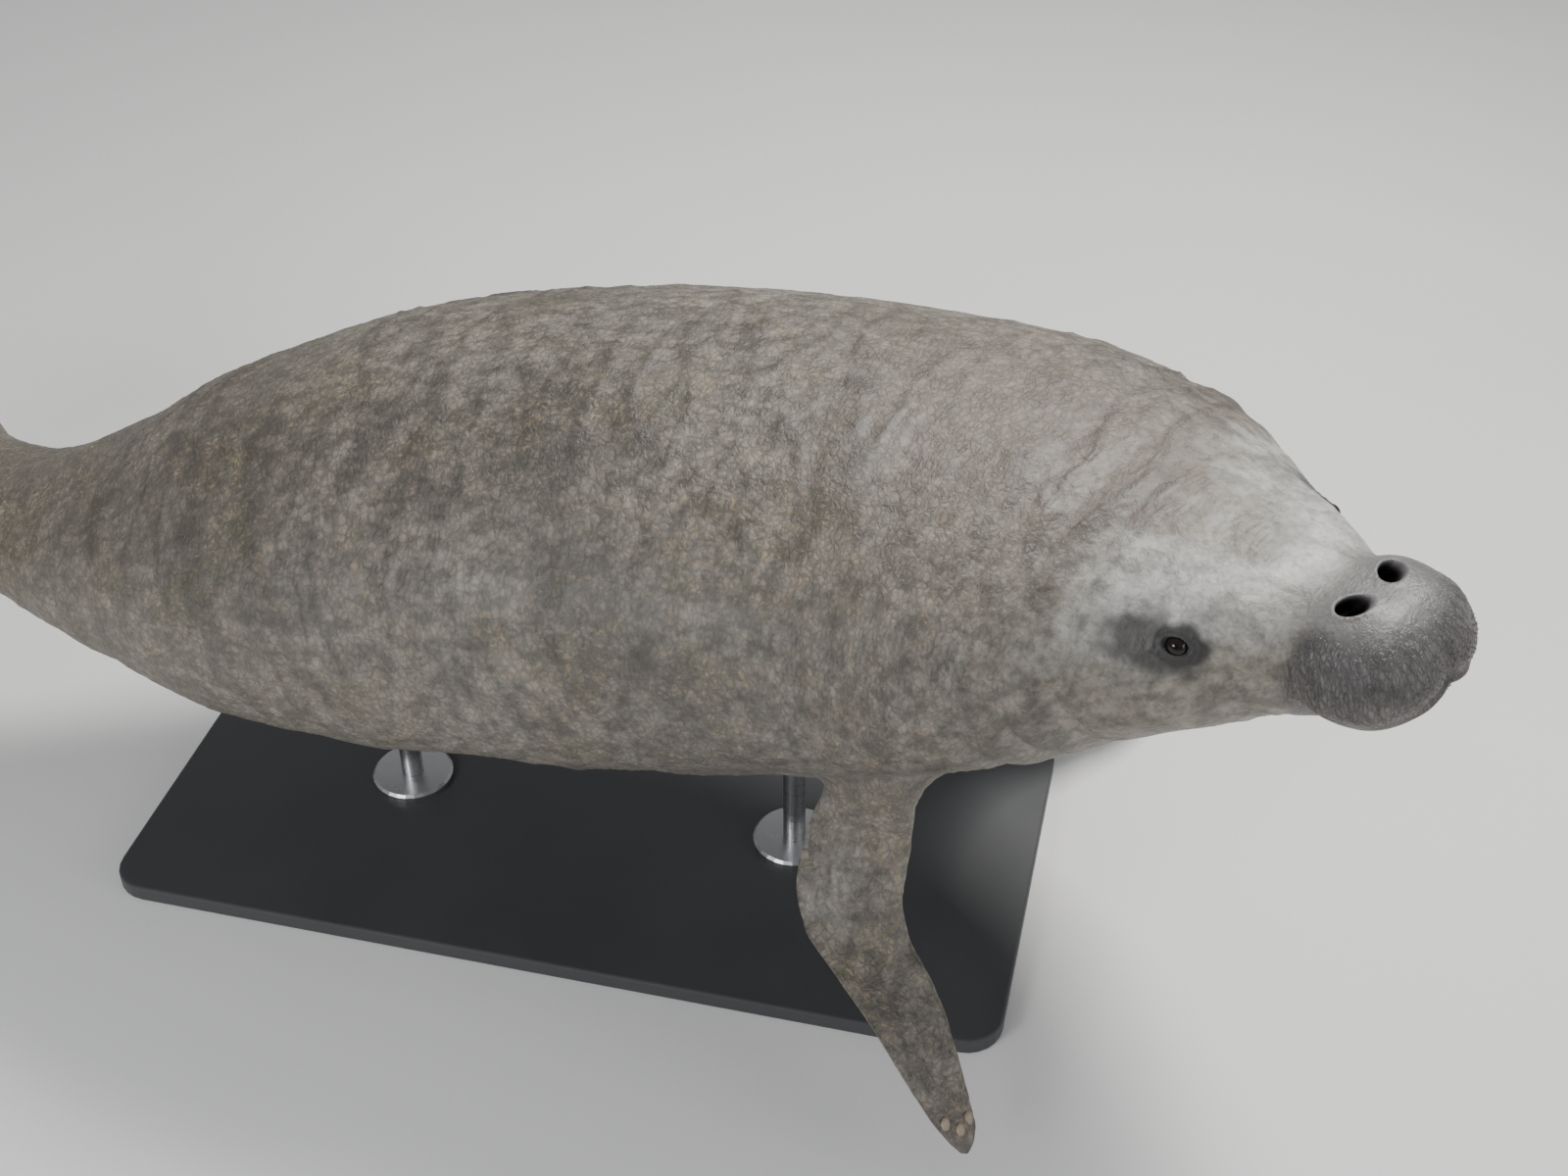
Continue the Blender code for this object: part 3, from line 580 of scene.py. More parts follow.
def make_edges(faces):
    pairs = set()
    for face in faces:
        for a, b in zip(face, face[1:] + face[:1]):
            pairs.add((a, b) if a < b else (b, a))
    return np.array(sorted(pairs))


def soften_places(places, edges, strength, rounds):
    """Even out the mesh where it is to be soft."""
    a, b = edges.T
    count = np.bincount(a, minlength=len(places)) + np.bincount(b, minlength=len(places))
    for _ in range(rounds):
        total = np.stack([
            np.bincount(a, places[b, k], len(places)) + np.bincount(b, places[a, k], len(places))
            for k in range(3)
        ], -1)
        places = places + (total / count[:, None] - places) * strength[:, None]
    return places


def normals_of(places, faces):
    """Outward directions at the vertices, from the faces round them."""
    corners = np.array([face if len(face) == 4 else face + face[-1:] for face in faces])
    first = places[corners[:, 2]] - places[corners[:, 0]]
    cross = np.cross(first, places[corners[:, 3]] - places[corners[:, 1]])
    total = np.zeros_like(places)
    for k in range(4):
        for axis in range(3):
            total[:, axis] += np.bincount(corners[:, k], cross[:, axis], len(places))
    return total / np.maximum(np.linalg.norm(total, axis=1, keepdims=True), 1e-12)


def trunk_wrinkles(lie, warp, trunk, paddle):
    """Swells, long folds and two nets of wrinkles: their height, and how deep in a crease a place lies, for
    the painted shade in the creases.
    """
    patchy = 0.45 + 0.55 * ramp(noise(lie, 0.16, 6), -0.6, 0.5)
    height = (0.0036 * noise(lie, 0.24, 1) + 0.0024 * noise(lie, 0.090, 2)) * trunk * (1 - 0.6 * paddle)
    height += 0.0012 * noise(lie + 0.010 * warp, 0.034, 54) * trunk
    around = (lie + 0.016 * warp) * np.array([1.0, 0.24, 0.24])
    fold = hump(noise(around, 0.046, 3), 0.16) * ramp(noise(lie, 0.30, 4), -0.45, 0.25)
    net = creases((lie + 0.011 * warp) * np.array([1.0, 0.55, 0.55]), 0.0235, 11, 0.22)
    small = creases((lie + 0.006 * warp) * np.array([1.0, 0.70, 0.70]), 0.0130, 61, 0.26)
    height -= FOLD_DEPTH * fold * trunk * (1 - 0.5 * paddle)
    height -= NET_DEPTH * net * patchy * trunk
    height -= SMALL_DEPTH * small * (0.4 + 0.6 * patchy) * trunk
    return height, (0.50 * net * patchy + 0.85 * fold + 0.30 * small) * trunk


def mouth_forms(back, left, up, body):
    """The groove of the mouth, the rolled edges of the lips, and the jowls beside them; and the painted
    shade in the groove.
    """
    lip = mouth_height(back, left)
    mouth = 1 - ramp(back, MOUTH_CORNER - 0.060, MOUTH_CORNER - 0.014)
    mouth *= body * ramp(-up, 0.0, 0.02)
    rolled = mouth * (1 - ramp(back, 0.04, 0.10))
    beside = ramp(np.abs(left), 0.045, 0.085) * (1 - ramp(back, 0.12, 0.17)) * body
    height = -MOUTH_DEPTH * hump(up - lip, 0.0040) * mouth
    height += 0.0085 * ramp(lip - up, 0.0, 0.012) * (1 - ramp(lip - up, 0.026, 0.070)) * beside
    height -= 0.0035 * hump(up - lip - 0.006, 0.014) * beside
    height += 0.0020 * hump(up - lip - 0.0090, 0.0060) * rolled
    height += 0.0016 * hump(up - lip + 0.0085, 0.0055) * rolled
    return height, 0.8 * hump(up - lip, 0.0042) * mouth


def eye_rings(lie):
    """Creases that run round the eyes: 1 at their bottoms."""
    back, left, up = lie.T
    rings = np.zeros(len(lie))
    for side in (1, -1):
        angle = angle_at(EYE_BACK, "up", EYE_UP, right=side < 0)
        eye_left = float(section(np.array([EYE_BACK]), np.array([angle]))[0][0])
        ahead, aside, above = back - EYE_BACK, left - eye_left, up - EYE_UP
        reach = np.sqrt((ahead * 0.72 - 0.004) ** 2 + aside**2 + (above * 1.15) ** 2)
        reach = reach * (1 + 0.10 * noise(lie, 0.024, 72))
        spoke = np.arctan2(above, ahead) * 0.016
        ring = hump(noise(np.stack([reach, spoke, 0 * reach], -1), 0.0066, 71), 0.30)
        rings = np.maximum(rings, ring * ramp(reach, 0.014, 0.020) * (1 - ramp(reach, 0.030, 0.062)))
    return rings


def skin_detail(skin, pits):
    """How far the detail stands out at each vertex, and the painted shade of its creases, grooves, pits and
    lid rings.
    """
    lie = skin["lie"]
    back, left, up = lie.T
    body = 1 - skin["limb"]
    head = (1 - ramp(back, 0.26, 0.48)) * body
    crease = crease_back(up)
    muzzle = (1 - ramp(back, crease - 0.012, crease + 0.012)) * body
    warp = np.stack([noise(lie, 0.055, salt) for salt in (51, 52, 53)], -1)
    height, dent = trunk_wrinkles(lie, warp, 1 - head, ramp(back, 2.35, 2.60) * body)

    fine = creases((lie + 0.005 * warp) * np.array([1.0, 0.28, 0.42]), 0.0088, 21, 0.24)
    fine *= head * (1 - 0.80 * muzzle) * (0.25 + 0.75 * ramp(noise(lie, 0.05, 23), -0.5, 0.5))
    height += 0.0004 * noise(lie, 0.011, 7) * (1 - 0.5 * muzzle) - FINE_DEPTH * fine

    lips, lips_crease_shade = mouth_forms(back, left, up, body)
    around_snout = np.arctan2(left, 0.16 - back) * 0.16
    pleat_place = np.stack([around_snout + 0.35 * up, up * 0.20, up * 0], -1) + 0.003 * warp
    pads = muzzle * (1 - ramp(up, 0.025, 0.062)) * ramp(up - mouth_height(back, left), 0.003, 0.012)
    pleat = hump(noise(pleat_place, 0.0092, 8), 0.40) * pads
    throat = body * hump(back - 0.20, 0.10) * ramp(-up, 0.03, 0.09)
    throat *= hump(noise(lie * np.array([1.0, 0.22, 0.5]), 0.020, 9), 0.24)
    rings = eye_rings(lie) * body
    height += lips - PLEAT_DEPTH * pleat - THROAT_DEPTH * throat - EYE_RING_DEPTH * rings - pits
    dent += 0.45 * fine + lips_crease_shade + 0.65 * pleat + 0.4 * rings + pits / 0.0018
    return height, np.clip(dent, 0, 1)


# Radius in and out of the rim of a nostril, in rims, and height over the skin in metres.
NOSTRIL_SHAPE = (
    (0.00, 0.00, -0.0440),
    (0.25, 0.55, -0.0380),
    (0.50, 0.82, -0.0240),
    (0.75, 0.93, -0.0090),
    (0.92, 0.98, -0.0020),
    (1.08, 1.05, 0.0009),
    (1.25, 1.20, 0.0017),
    (1.60, 1.56, 0.0006),
    (2.10, 2.10, 0.0),
)
NOSTRIL_HALVES = (0.0245, 0.0170)

# The same for the lids, in half openings.
LID_SHAPE = (
    (0.00, 0.00, -0.0290),
    (0.30, 0.80, -0.0230),
    (0.55, 0.98, -0.0120),
    (0.78, 0.99, -0.0030),
    (0.95, 1.02, 0.0014),
    (1.15, 1.16, 0.0030),
    (1.40, 1.40, 0.0026),
    (1.70, 1.70, -0.0008),
    (2.05, 2.05, 0.0008),
    (2.50, 2.50, 0.0),
)
LID_HALVES = (0.0150, 0.0100)

# How far off an eyeball the rim of its lids lies, and the skin inside them.
RIM_GAP = 0.0007
INNER_GAP = 0.0004


def head_ways():
    """Forward, left and up of the head."""
    return [Vector(part[0]) for part in spine_frame(np.array([0.15]))[1:]]


def nostril_ways(side):
    """Middle, outward, long and wide directions of a nostril, and the way in."""
    angle = angle_at(NOSTRIL_BACK, "left", side * NOSTRIL_SIDE)
    place, out = skin_place(NOSTRIL_BACK, angle)
    ahead, left, _ = head_ways()
    long_way = ahead * 0.42 - left * side * 0.85
    long_way = (long_way - out * long_way.dot(out)).normalized()
    inward = (-out * 0.80 - ahead * 0.50).normalized()
    return place, out, long_way, out.cross(long_way), inward


def eye_ways(side):
    """Middle of the eyeball, outward, long and high directions of an eye's opening."""
    middle, out = eye_spot(side)
    ahead, _, up = head_ways()
    long_way = ahead * 0.97 - up * 0.24
    long_way = (long_way - out * long_way.dot(out)).normalized()
    high_way = out.cross(long_way)
    return middle, out, long_way, high_way if high_way.dot(up) > 0 else -high_way


def pull_opening(places, middle, out, long_way, wide_way, inward, halves, shape):
    """Draw the skin into an opening, along a shape from its middle outwards. Gives radii in rims."""
    away = places - np.array(middle)
    u = away @ np.array(long_way) / halves[0]
    v = away @ np.array(wide_way) / halves[1]
    h = away @ np.array(out)
    radius = np.hypot(u, v)
    near = (radius < shape[-1][0]) & (np.abs(h) < 0.05)
    r = radius[near]
    factor = through(shape, 1, r) / np.maximum(r, 1e-6)
    rise = through(shape, 2, r)
    level = h[near] * ramp(r, 0.5, 1.1)
    moved = np.outer(u[near] * factor * halves[0], long_way)
    moved = moved + np.outer(v[near] * factor * halves[1], wide_way)
    moved += np.outer(np.maximum(rise, 0) + level, out) + np.outer(np.maximum(-rise, 0), inward)
    places[near] = np.array(middle) + moved
    radius[~near] = 9.0
    return radius


def open_nostril(places, side):
    """Draw in a nostril. Gives the painted shade inside it at each vertex."""
    r = pull_opening(places, *nostril_ways(side), NOSTRIL_HALVES, NOSTRIL_SHAPE)
    return 1 - ramp(r, 0.60, 0.98)


def open_eye(places, side):
    """Draw the skin in to an eyeball, with the lids' rim close on it. Gives the painted shade in the gap
    round the eyeball at each vertex.
    """
    ball, out, long_way, high_way = eye_ways(side)
    middle = ball + out * EYE_SINK
    r = pull_opening(places, middle, out, long_way, high_way, -out, LID_HALVES, LID_SHAPE)
    rim = np.nonzero((r > 0.78) & (r < 1.55))[0]
    away = places[rim] - np.array(middle)
    high = away @ np.array(out)
    beside = np.linalg.norm(away - np.outer(high, out), axis=1)
    level = np.sqrt(np.maximum((EYE_RADIUS + RIM_GAP) ** 2 - beside**2, 0)) - EYE_SINK
    places[rim] += np.outer((level - high) * (1 - ramp(r[rim], 1.0, 1.32)), out)
    inside = np.nonzero(r < 1.3)[0]
    away = places[inside] - np.array(ball)
    far = np.linalg.norm(away, axis=1)
    short = far < EYE_RADIUS + INNER_GAP
    places[inside[short]] = np.array(ball) + away[short] / far[short, None] * (EYE_RADIUS + INNER_GAP)
    return 0.7 * (1 - ramp(r, 0.5, 0.9))


def eye_shade(places, lie, side):
    """The painted shadow round a sunken eye: a dark patch which reaches further behind it."""
    ball, out, long_way, high_way = eye_ways(side)
    away = places - np.array(ball + out * EYE_SINK)
    along, high = away @ np.array(long_way), away @ np.array(high_way)
    ragged = 1 + 0.22 * noise(lie, 0.016, 44)
    near = np.hypot(along, high * 1.25) * ragged
    wide = np.hypot((along + 0.028) * 0.56, high + 0.011) * ragged
    shade = np.maximum(0.96 * (1 - ramp(near, 0.029, 0.050)), 0.84 * (1 - ramp(wide, 0.022, 0.056)))
    return shade * (np.abs(away @ np.array(out)) < 0.06)


def spread(places, order, spacing):
    """The first vertices in an order that keep a spacing from each other."""
    chosen = []
    cells = {}
    around = [(i, j, k) for k in (-1, 0, 1) for j in (-1, 0, 1) for i in (-1, 0, 1)]
    for index in order:
        place = places[index]
        key = tuple(np.floor(place / spacing).astype(int))
        near = [n for i, j, k in around for n in cells.get((key[0] + i, key[1] + j, key[2] + k), ())]
        if all(np.sum((places[other] - place) ** 2) >= spacing**2 for other in near):
            cells.setdefault(key, []).append(index)
            chosen.append(index)
    return np.array(chosen)


def bristle_roots(skin):
    """Vertices of the skin where the bristles of the lips and the chin stand, spread evenly."""
    back, left, up = skin["lie"].T
    lip = mouth_height(back, left)
    upper = (back < 0.125) & (up > lip + 0.006) & (up < lip + 0.060 + 0.010 * noise(skin["lie"], 0.02, 31))
    upper &= (np.abs(left) > 0.010) | (up < lip + 0.03)
    chin = (back < 0.10) & (up < lip - 0.010) & (up > lip - 0.030)
    candidates = np.nonzero((upper | chin) & (skin["limb"] == 0))[0]
    order = np.random.default_rng(5).permutation(candidates)
    return spread(skin["places"], order, BRISTLE_SPACING)


def pit_depths(skin, roots):
    """A small round pit in the skin at the root of each bristle."""
    depth = np.zeros(len(skin["places"]))
    zone = np.nonzero((skin["lie"][:, 0] < 0.14) & (skin["limb"] == 0))[0]
    places = skin["places"][zone]
    for root in roots:
        near = np.sum((places - skin["places"][root]) ** 2, axis=1)
        depth[zone] = np.maximum(depth[zone], PIT_DEPTH * np.exp(-near / PIT_RADIUS**2))
    return depth


def needles(name, roots, ways, lengths, radii, bends, sides, spots):
    """Joined tapered hairs, each bent, and each a patch at its root's spot on the skin's unwrap."""
    points, faces, texture = [], [], []
    for root, way, length, radius, bend, spot in zip(roots, ways, lengths, radii, bends, spots):
        first = np.cross(way, [0.31, 0.22, 0.92])
        first /= np.linalg.norm(first)
        second = np.cross(way, first)
        start = len(points)
        for k in range(HAIR_PARTS):
            t = k / HAIR_PARTS
            middle = root + way * length * t + bend * length * t**2
            for j in range(sides):
                c, s = math.cos(2 * math.pi * j / sides), math.sin(2 * math.pi * j / sides)
                points.append(middle + (first * c + second * s) * radius * (1 - t) ** 0.7)
                texture.append((spot[0] + 0.0015 * c, spot[1] + 0.0015 * s))
        points.append(root + way * length + bend * length)
        texture.append(tuple(spot))
        for j in range(sides):
            n = (j + 1) % sides
            for low in range(start, start + (HAIR_PARTS - 1) * sides, sides):
                faces.append((low + j, low + n, low + sides + n, low + sides + j))
            top = start + (HAIR_PARTS - 1) * sides
            faces.append((top + j, top + n, len(points) - 1))
        faces.append(tuple(start + j for j in range(sides - 1, -1, -1)))
    mesh = bpy.data.meshes.new(name)
    mesh.from_pydata(np.array(points).tolist(), [], faces)
    set_unwrap(mesh, np.array(texture)[corner_vertices(mesh)])
    mesh.shade_smooth()
    return linked(name, mesh)


def linked(name, data):
    """An object of the scene that holds the data."""
    item = bpy.data.objects.new(name, data)
    bpy.context.collection.objects.link(item)
    return item


def closed_mesh(name, places, faces):
    mesh = bpy.data.meshes.new(name)
    mesh.from_pydata(np.asarray(places, float).tolist(), [], faces)
    work = bmesh.new()
    work.from_mesh(mesh)
    bmesh.ops.recalc_face_normals(work, faces=work.faces[:])
    if work.calc_volume(signed=True) < 0:
        bmesh.ops.reverse_faces(work, faces=work.faces[:])
    work.to_mesh(mesh)
    work.free()
    mesh.shade_smooth()
    return linked(name, mesh)


def turned_piece(name, around, down, shape):
    """A closed piece, where shape gives a point from its angle down from the top and its angle round."""
    points = [shape(0.0, 0.0)]
    for k in range(1, down):
        points += [shape(math.pi * k / down, 2 * math.pi * j / around) for j in range(around)]
    points.append(shape(math.pi, 0.0))
    last = len(points) - 1
    faces = []
    for j in range(around):
        n = (j + 1) % around
        faces += [(0, 1 + j, 1 + n), (last - around + j, last, last - around + n)]
        for low in range(1, last - around, around):
            faces.append((low + j, low + around + j, low + around + n, low + n))
    return closed_mesh(name, points, faces)


def corner_vertices(mesh):
    corner = np.zeros(len(mesh.loops), np.int32)
    mesh.loops.foreach_get("vertex_index", corner)
    return corner


def set_unwrap(mesh, spots):
    mesh.uv_layers.new(name="OFBake").data.foreach_set("uv", spots.astype(np.float32).ravel())


def unwrap_mesh(mesh, unwrap):
    """The unwrap of the skin, with the faces that cross its seam carried past its edge."""
    spots = unwrap[corner_vertices(mesh)]
    starts, sizes = np.zeros((2, len(mesh.polygons)), np.int32)
    mesh.polygons.foreach_get("loop_start", starts)
    mesh.polygons.foreach_get("loop_total", sizes)
    face_of = np.repeat(np.arange(len(sizes)), sizes)
    wide = np.maximum.reduceat(spots[:, 0], starts) - np.minimum.reduceat(spots[:, 0], starts)
    crossing = (wide > 0.5)[face_of] & (spots[:, 0] > 0.5)
    spots[crossing, 0] -= 1.0
    set_unwrap(mesh, spots)


def set_attribute(mesh, name, values, kind="FLOAT"):
    layer = mesh.attributes.new(name, kind, "POINT")
    field = "vector" if kind == "FLOAT_VECTOR" else "value"
    layer.data.foreach_set(field, np.asarray(values, np.float32).ravel())


def zones(skin):
    """The shares of each vertex in the skin's differently coloured parts."""
    lie = skin["lie"]
    back, left, up = lie.T
    body = 1 - skin["limb"]
    wander = 0.030 * noise(lie, 0.060, 41) + 0.014 * noise(lie, 0.022, 42)
    edge = crease_back(up) + 0.25 * wander
    soft = 0.012 + 0.022 * ramp(up, 0.0, 0.06)
    muzzle = (1 - ramp(back, edge - soft, edge + soft)) * body
    # The crown: paler skin on top of the head, with a painted highlight over it.
    crown_end = 0.25 + 0.14 * ramp(np.abs(left), 0.02, 0.11)
    crown = (1 - ramp(back + wander * 2, crown_end - 0.08, crown_end + 0.09)) * body
    crown *= ramp(up + wander, -0.01, 0.09) * (1 - muzzle) * (0.80 + 0.20 * noise(lie, 0.05, 43))
    neck = hump(left / (0.16 + 0.12 * ramp(back, 0.4, 0.9)), 1.0) * ramp(up, 0.05, 0.14) * body
    behind_crown = ramp(back + wander, crown_end - 0.03, crown_end + 0.13)
    neck *= behind_crown * (1 - ramp(back + 3 * wander, 0.72, 1.02))
    return {
        "muzzle": muzzle,
        "crown": crown,
        "neck": neck,
        "belly": ramp(-up, 0.08, 0.24) * body,
        "head": (1 - ramp(back, 0.34, 0.62)) * body,
        "rear": ramp(back + 3 * wander, 1.35, 2.30) * body,
        "pleated": muzzle * (1 - ramp(up + 0.3 * wander, 0.030, 0.066)),
        "above": 0.85 * ramp(up + 0.6 * wander, 0.010, 0.080) * body,
        "lips": hump(up + 0.3 * wander - mouth_height(back, left) - 0.010, 0.034) * body,
    }


def make_skin():
    """The one skin over all of the flesh. Gives what the hairs need: the skin, its places and normals."""
    skin = skin_mesh()
    edges = make_edges(skin["faces"])
    skin["places"] = soften_places(skin["places"], edges, 0.6 * skin["soften"], 60)
    normals = normals_of(skin["places"], skin["faces"])
    roots = bristle_roots(skin)
    height, dent = skin_detail(skin, pit_depths(skin, roots))
    clear = np.ones(len(height))
    for side in (1, -1):
        eyeball, eye_out, _, _ = eye_ways(side)
        for middle, size in ((nostril_ways(side)[0], 0.040), (eyeball + eye_out * EYE_SINK, 0.030)):
            far = np.linalg.norm(skin["places"] - np.array(middle), axis=1)
            clear *= ramp(far, size * 0.65, size)
    places = skin["places"] + normals * (height * clear)[:, None]
    # Painted shade inside the nostrils and in the gaps round the eyeballs.
    darks = []
    for side in (1, -1):
        darks += [open_nostril(places, side), open_eye(places, side)]
    dark = np.maximum.reduce(darks)
    shade = np.maximum(*(eye_shade(places, skin["lie"], side) for side in (1, -1)))
    back, left, up = skin["lie"].T
    body = 1 - skin["limb"]
    over = up - mouth_height(back, left)
    corner = hump(over, 0.020) * ramp(np.abs(left), 0.045, 0.080) * (1 - ramp(back, 0.18, 0.20)) * body
    lip_line = hump(over, 0.012) * (1 - ramp(back, 0.17, 0.19)) * body
    places = soften_places(places, edges, 0.5 * corner, 22)
    places = soften_places(places, edges, 0.5 * np.maximum(lip_line, 1 - clear), 2)
    item = closed_mesh("skin", places + shift, skin["faces"])
    unwrap_mesh(item.data, skin["unwrap"])
    set_attribute(item.data, "lie", skin["lie"], "FLOAT_VECTOR")
    for name, values in {"dent": dent * clear, "dark": dark, "shade": shade, **zones(skin)}.items():
        set_attribute(item.data, name, values)
    item.data.materials.append(skin_material())
    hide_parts(*FLESH)
    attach(item, "root")
    return skin, places, normals_of(places, skin["faces"]), roots


def unit_rows(rows):
    return rows / np.linalg.norm(rows, axis=1, keepdims=True)


def make_hairs(skin, places, normals, roots):
    """Stout bristles on the lips and the chin, and fine single hairs over the body."""
    random = np.random.default_rng(17)
    up = np.array(head_ways()[2])
    count = len(roots)
    way = unit_rows(normals[roots] + 0.15 * random.normal(size=(count, 3)) - 0.15 * up)
    length = random.uniform(0.0040, 0.0085, count)
    radius = random.uniform(0.00026, 0.00038, count)
    bend = 0.10 * random.normal(size=(count, 3)) - 0.25 * up
    base = places[roots] - way * HAIR_SEAT + shift
    bristles = needles("muzzle_bristles", base, way, length, radius, bend, 5, skin["unwrap"][roots])
    back = skin["lie"][:, 0]
    behind_head = np.nonzero((back > 0.17) & (back < 2.70) & (skin["limb"] < 0.9))[0]
    chosen = spread(places, random.permutation(behind_head), HAIR_SPACING)
    count = len(chosen)
    ahead = spine_frame(back[chosen])[1]
    way = unit_rows(normals[chosen] * 0.75 - ahead * 0.65 + 0.18 * random.normal(size=(count, 3)))
    length = random.uniform(0.010, 0.020, count)
    radius = random.uniform(0.00020, 0.00028, count)
    bend = -0.35 * ahead + 0.12 * random.normal(size=(count, 3))
    base = places[chosen] - way * HAIR_SEAT + shift
    hairs = needles("body_hairs", base, way, length, radius, bend, 4, skin["unwrap"][chosen])
    material = hair_material()
    for item in (bristles, hairs):
        item.data.materials.append(material)
        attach(item, "root")


def make_eye(side, word, material):
    """An eyeball with a slightly raised cornea."""
    middle, out, _, _ = eye_ways(side)

    def shape(down, around):
        radius = EYE_RADIUS * (1 + 0.018 * hump(down, 0.62))
        beside = radius * math.sin(down)
        return beside * math.cos(around), beside * math.sin(around), radius * math.cos(down)

    item = turned_piece(f"eyeball_{word}", 48, 32, shape)
    turn = out.to_track_quat("Z", "Y").to_matrix().to_4x4()
    item.matrix_world = Matrix.Translation(middle + Vector(shift)) @ turn
    item.data.materials.append(material)
    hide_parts(f"eye_{word}")
    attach(item, "root")


def nail_shape(down, around):
    """A domed plate with a flatter back and a blunt free end."""
    beside = max(math.sin(down), 0.0) ** 0.6
    x = math.copysign(abs(math.cos(around)) ** 0.8, math.cos(around)) * beside
    y = math.copysign(abs(math.sin(around)) ** 0.9, math.sin(around)) * beside
    z = math.cos(down) * (1.0 if down <= math.pi / 2 else 0.5)
    x *= 1 - 0.18 * max(0.0, -y)
    return x * NAIL_WIDTH / 2, y * NAIL_LENGTH / 2, z * NAIL_HEIGHT + 0.0006 * y


def make_nails(side, word, material):
    """Small flat nails near the edge of the hand."""
    _, down, _ = flipper_ways(side)
    for count, (distance, across) in enumerate(NAILS, start=1):
        middle, lead, outer, _, half_thick = flipper_section(side, distance)
        centre = middle + lead * across + outer * half_thick * NAIL_SEAT
        item = turned_piece(f"nail_{word}_{count}", 40, 24, nail_shape)
        turn = Matrix((lead, down, outer)).transposed().to_4x4()
        item.matrix_world = Matrix.Translation(Vector(centre) + Vector(shift)) @ turn
        item.data.materials.append(material)
        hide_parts(f"flipper_{word}_nail_{count}")
        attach(item, "root")


# Colours of the hide, as linear light. Some of them paint light and shade: the darkest also paints shade in
# creases, grooves and seams, the crown's pale is partly a painted highlight, and the last two are the
# painted shadow round the eyes and the painted shade inside the nostrils and the eyes' openings.
HIDE_DARK_AND_SHADE = (0.052, 0.046, 0.041)
HIDE_DUSK = (0.138, 0.125, 0.104)
HIDE_PALE = (0.318, 0.291, 0.246)
HIDE_REAR = (0.176, 0.153, 0.118)
ALGAE_TAN = (0.345, 0.272, 0.165)
ALGAE_OLIVE = (0.128, 0.124, 0.064)
CROWN_PALE_AND_SHEEN = (0.640, 0.630, 0.612)
CROWN_SHADE = (0.370, 0.356, 0.340)
NECK_BROWN = (0.186, 0.152, 0.124)
MUZZLE_SLATE = (0.076, 0.071, 0.071)
MUZZLE_PALE = (0.182, 0.175, 0.173)
LIP_PINK = (0.165, 0.138, 0.126)
BELLY = (0.188, 0.168, 0.158)
EYE_SHADOW = (0.020, 0.018, 0.018)
HOLE_SHADE = (0.006, 0.005, 0.005)


class Look:
    """A material or a sky under way. Most calls add a node to it, and give what that node puts out."""

    def __init__(self, owner, shader="Principled BSDF"):
        owner.use_nodes = True
        self.owner = owner
        self.tree = owner.node_tree
        self.shader = self.tree.nodes[shader]

    def feed(self, node, inputs):
        """Set a node's inputs, each to a value or to what another node puts out."""
        for which, value in inputs.items():
            if isinstance(value, bpy.types.NodeSocket):
                self.tree.links.new(value, node.inputs[which])
            else:
                node.inputs[which].default_value = value

    def finish(self, inputs):
        """Set the inputs of the shader itself."""
        self.feed(self.shader, inputs)
        return self.owner

    def put(self, kind, inputs, output=0, **settings):
        made = self.tree.nodes.new("ShaderNode" + kind)
        for key, value in settings.items():
            setattr(made, key, value)
        self.feed(made, inputs)
        return made.outputs[output]

    def place(self):
        """The place in the piece's own frame."""
        return self.put("TexCoord", {}, "Object")

    def attribute(self, name, output="Fac"):
        return self.put("Attribute", {}, output, attribute_name=name)

    def times(self, first, second):
        return self.put("Math", {0: first, 1: second}, operation="MULTIPLY")

    def rest_of(self, value, clamp=False):
        """What is left of 1."""
        return self.put("Math", {0: 1.0, 1: value}, operation="SUBTRACT", use_clamp=clamp)

    def between(self, value, low, high, to_low=0.0, to_high=1.0):
        """A value carried smoothly from one range to another, and held at its ends."""
        inputs = {"Value": value, "From Min": low, "From Max": high, "To Min": to_low, "To Max": to_high}
        return self.put("MapRange", inputs, interpolation_type="SMOOTHSTEP")

    def mix(self, factor, first, second, blend="MIX"):
        first, second = (c if isinstance(c, bpy.types.NodeSocket) else (*c, 1.0) for c in (first, second))
        inputs = {0: factor, 6: first, 7: second}
        return self.put("Mix", inputs, 2, data_type="RGBA", blend_type=blend)

    def vector(self, operation, first, second, output=0):
        return self.put("VectorMath", {0: first, 1: second}, output, operation=operation)

    def stretched(self, vector, scale):
        return self.vector("MULTIPLY", vector, scale)

    def clouds(self, vector, scale, detail=4.0, roughness=0.55, output="Fac"):
        inputs = {"Vector": vector, "Scale": scale, "Detail": detail, "Roughness": roughness}
        return self.put("TexNoise", inputs, output)

    def wobbled(self, vector, scale, amount):
        """Places moved about by a cloudy amount each way."""
        cloud = self.clouds(vector, scale, 2.0, 0.5, "Color")
        reach = self.stretched(self.vector("SUBTRACT", cloud, (0.5, 0.5, 0.5)), (amount, amount, amount))
        return self.vector("ADD", vector, reach)

    def pebbles(self, vector, scale):
        """Rounded small fields of the skin: 0 in the seams between them, 1 on their tops."""
        inputs = {"Vector": vector, "Scale": scale}
        edge = self.put("TexVoronoi", inputs, "Distance", feature="DISTANCE_TO_EDGE")
        return self.between(edge, 0.0, 0.34)

    def bump(self, height, distance, strength, under=None):
        inputs = {"Height": height, "Distance": distance, "Strength": strength}
        if under is not None:
            inputs["Normal"] = under
        return self.put("Bump", inputs, "Normal")


def new_look(name):
    return Look(bpy.data.materials.new(name))


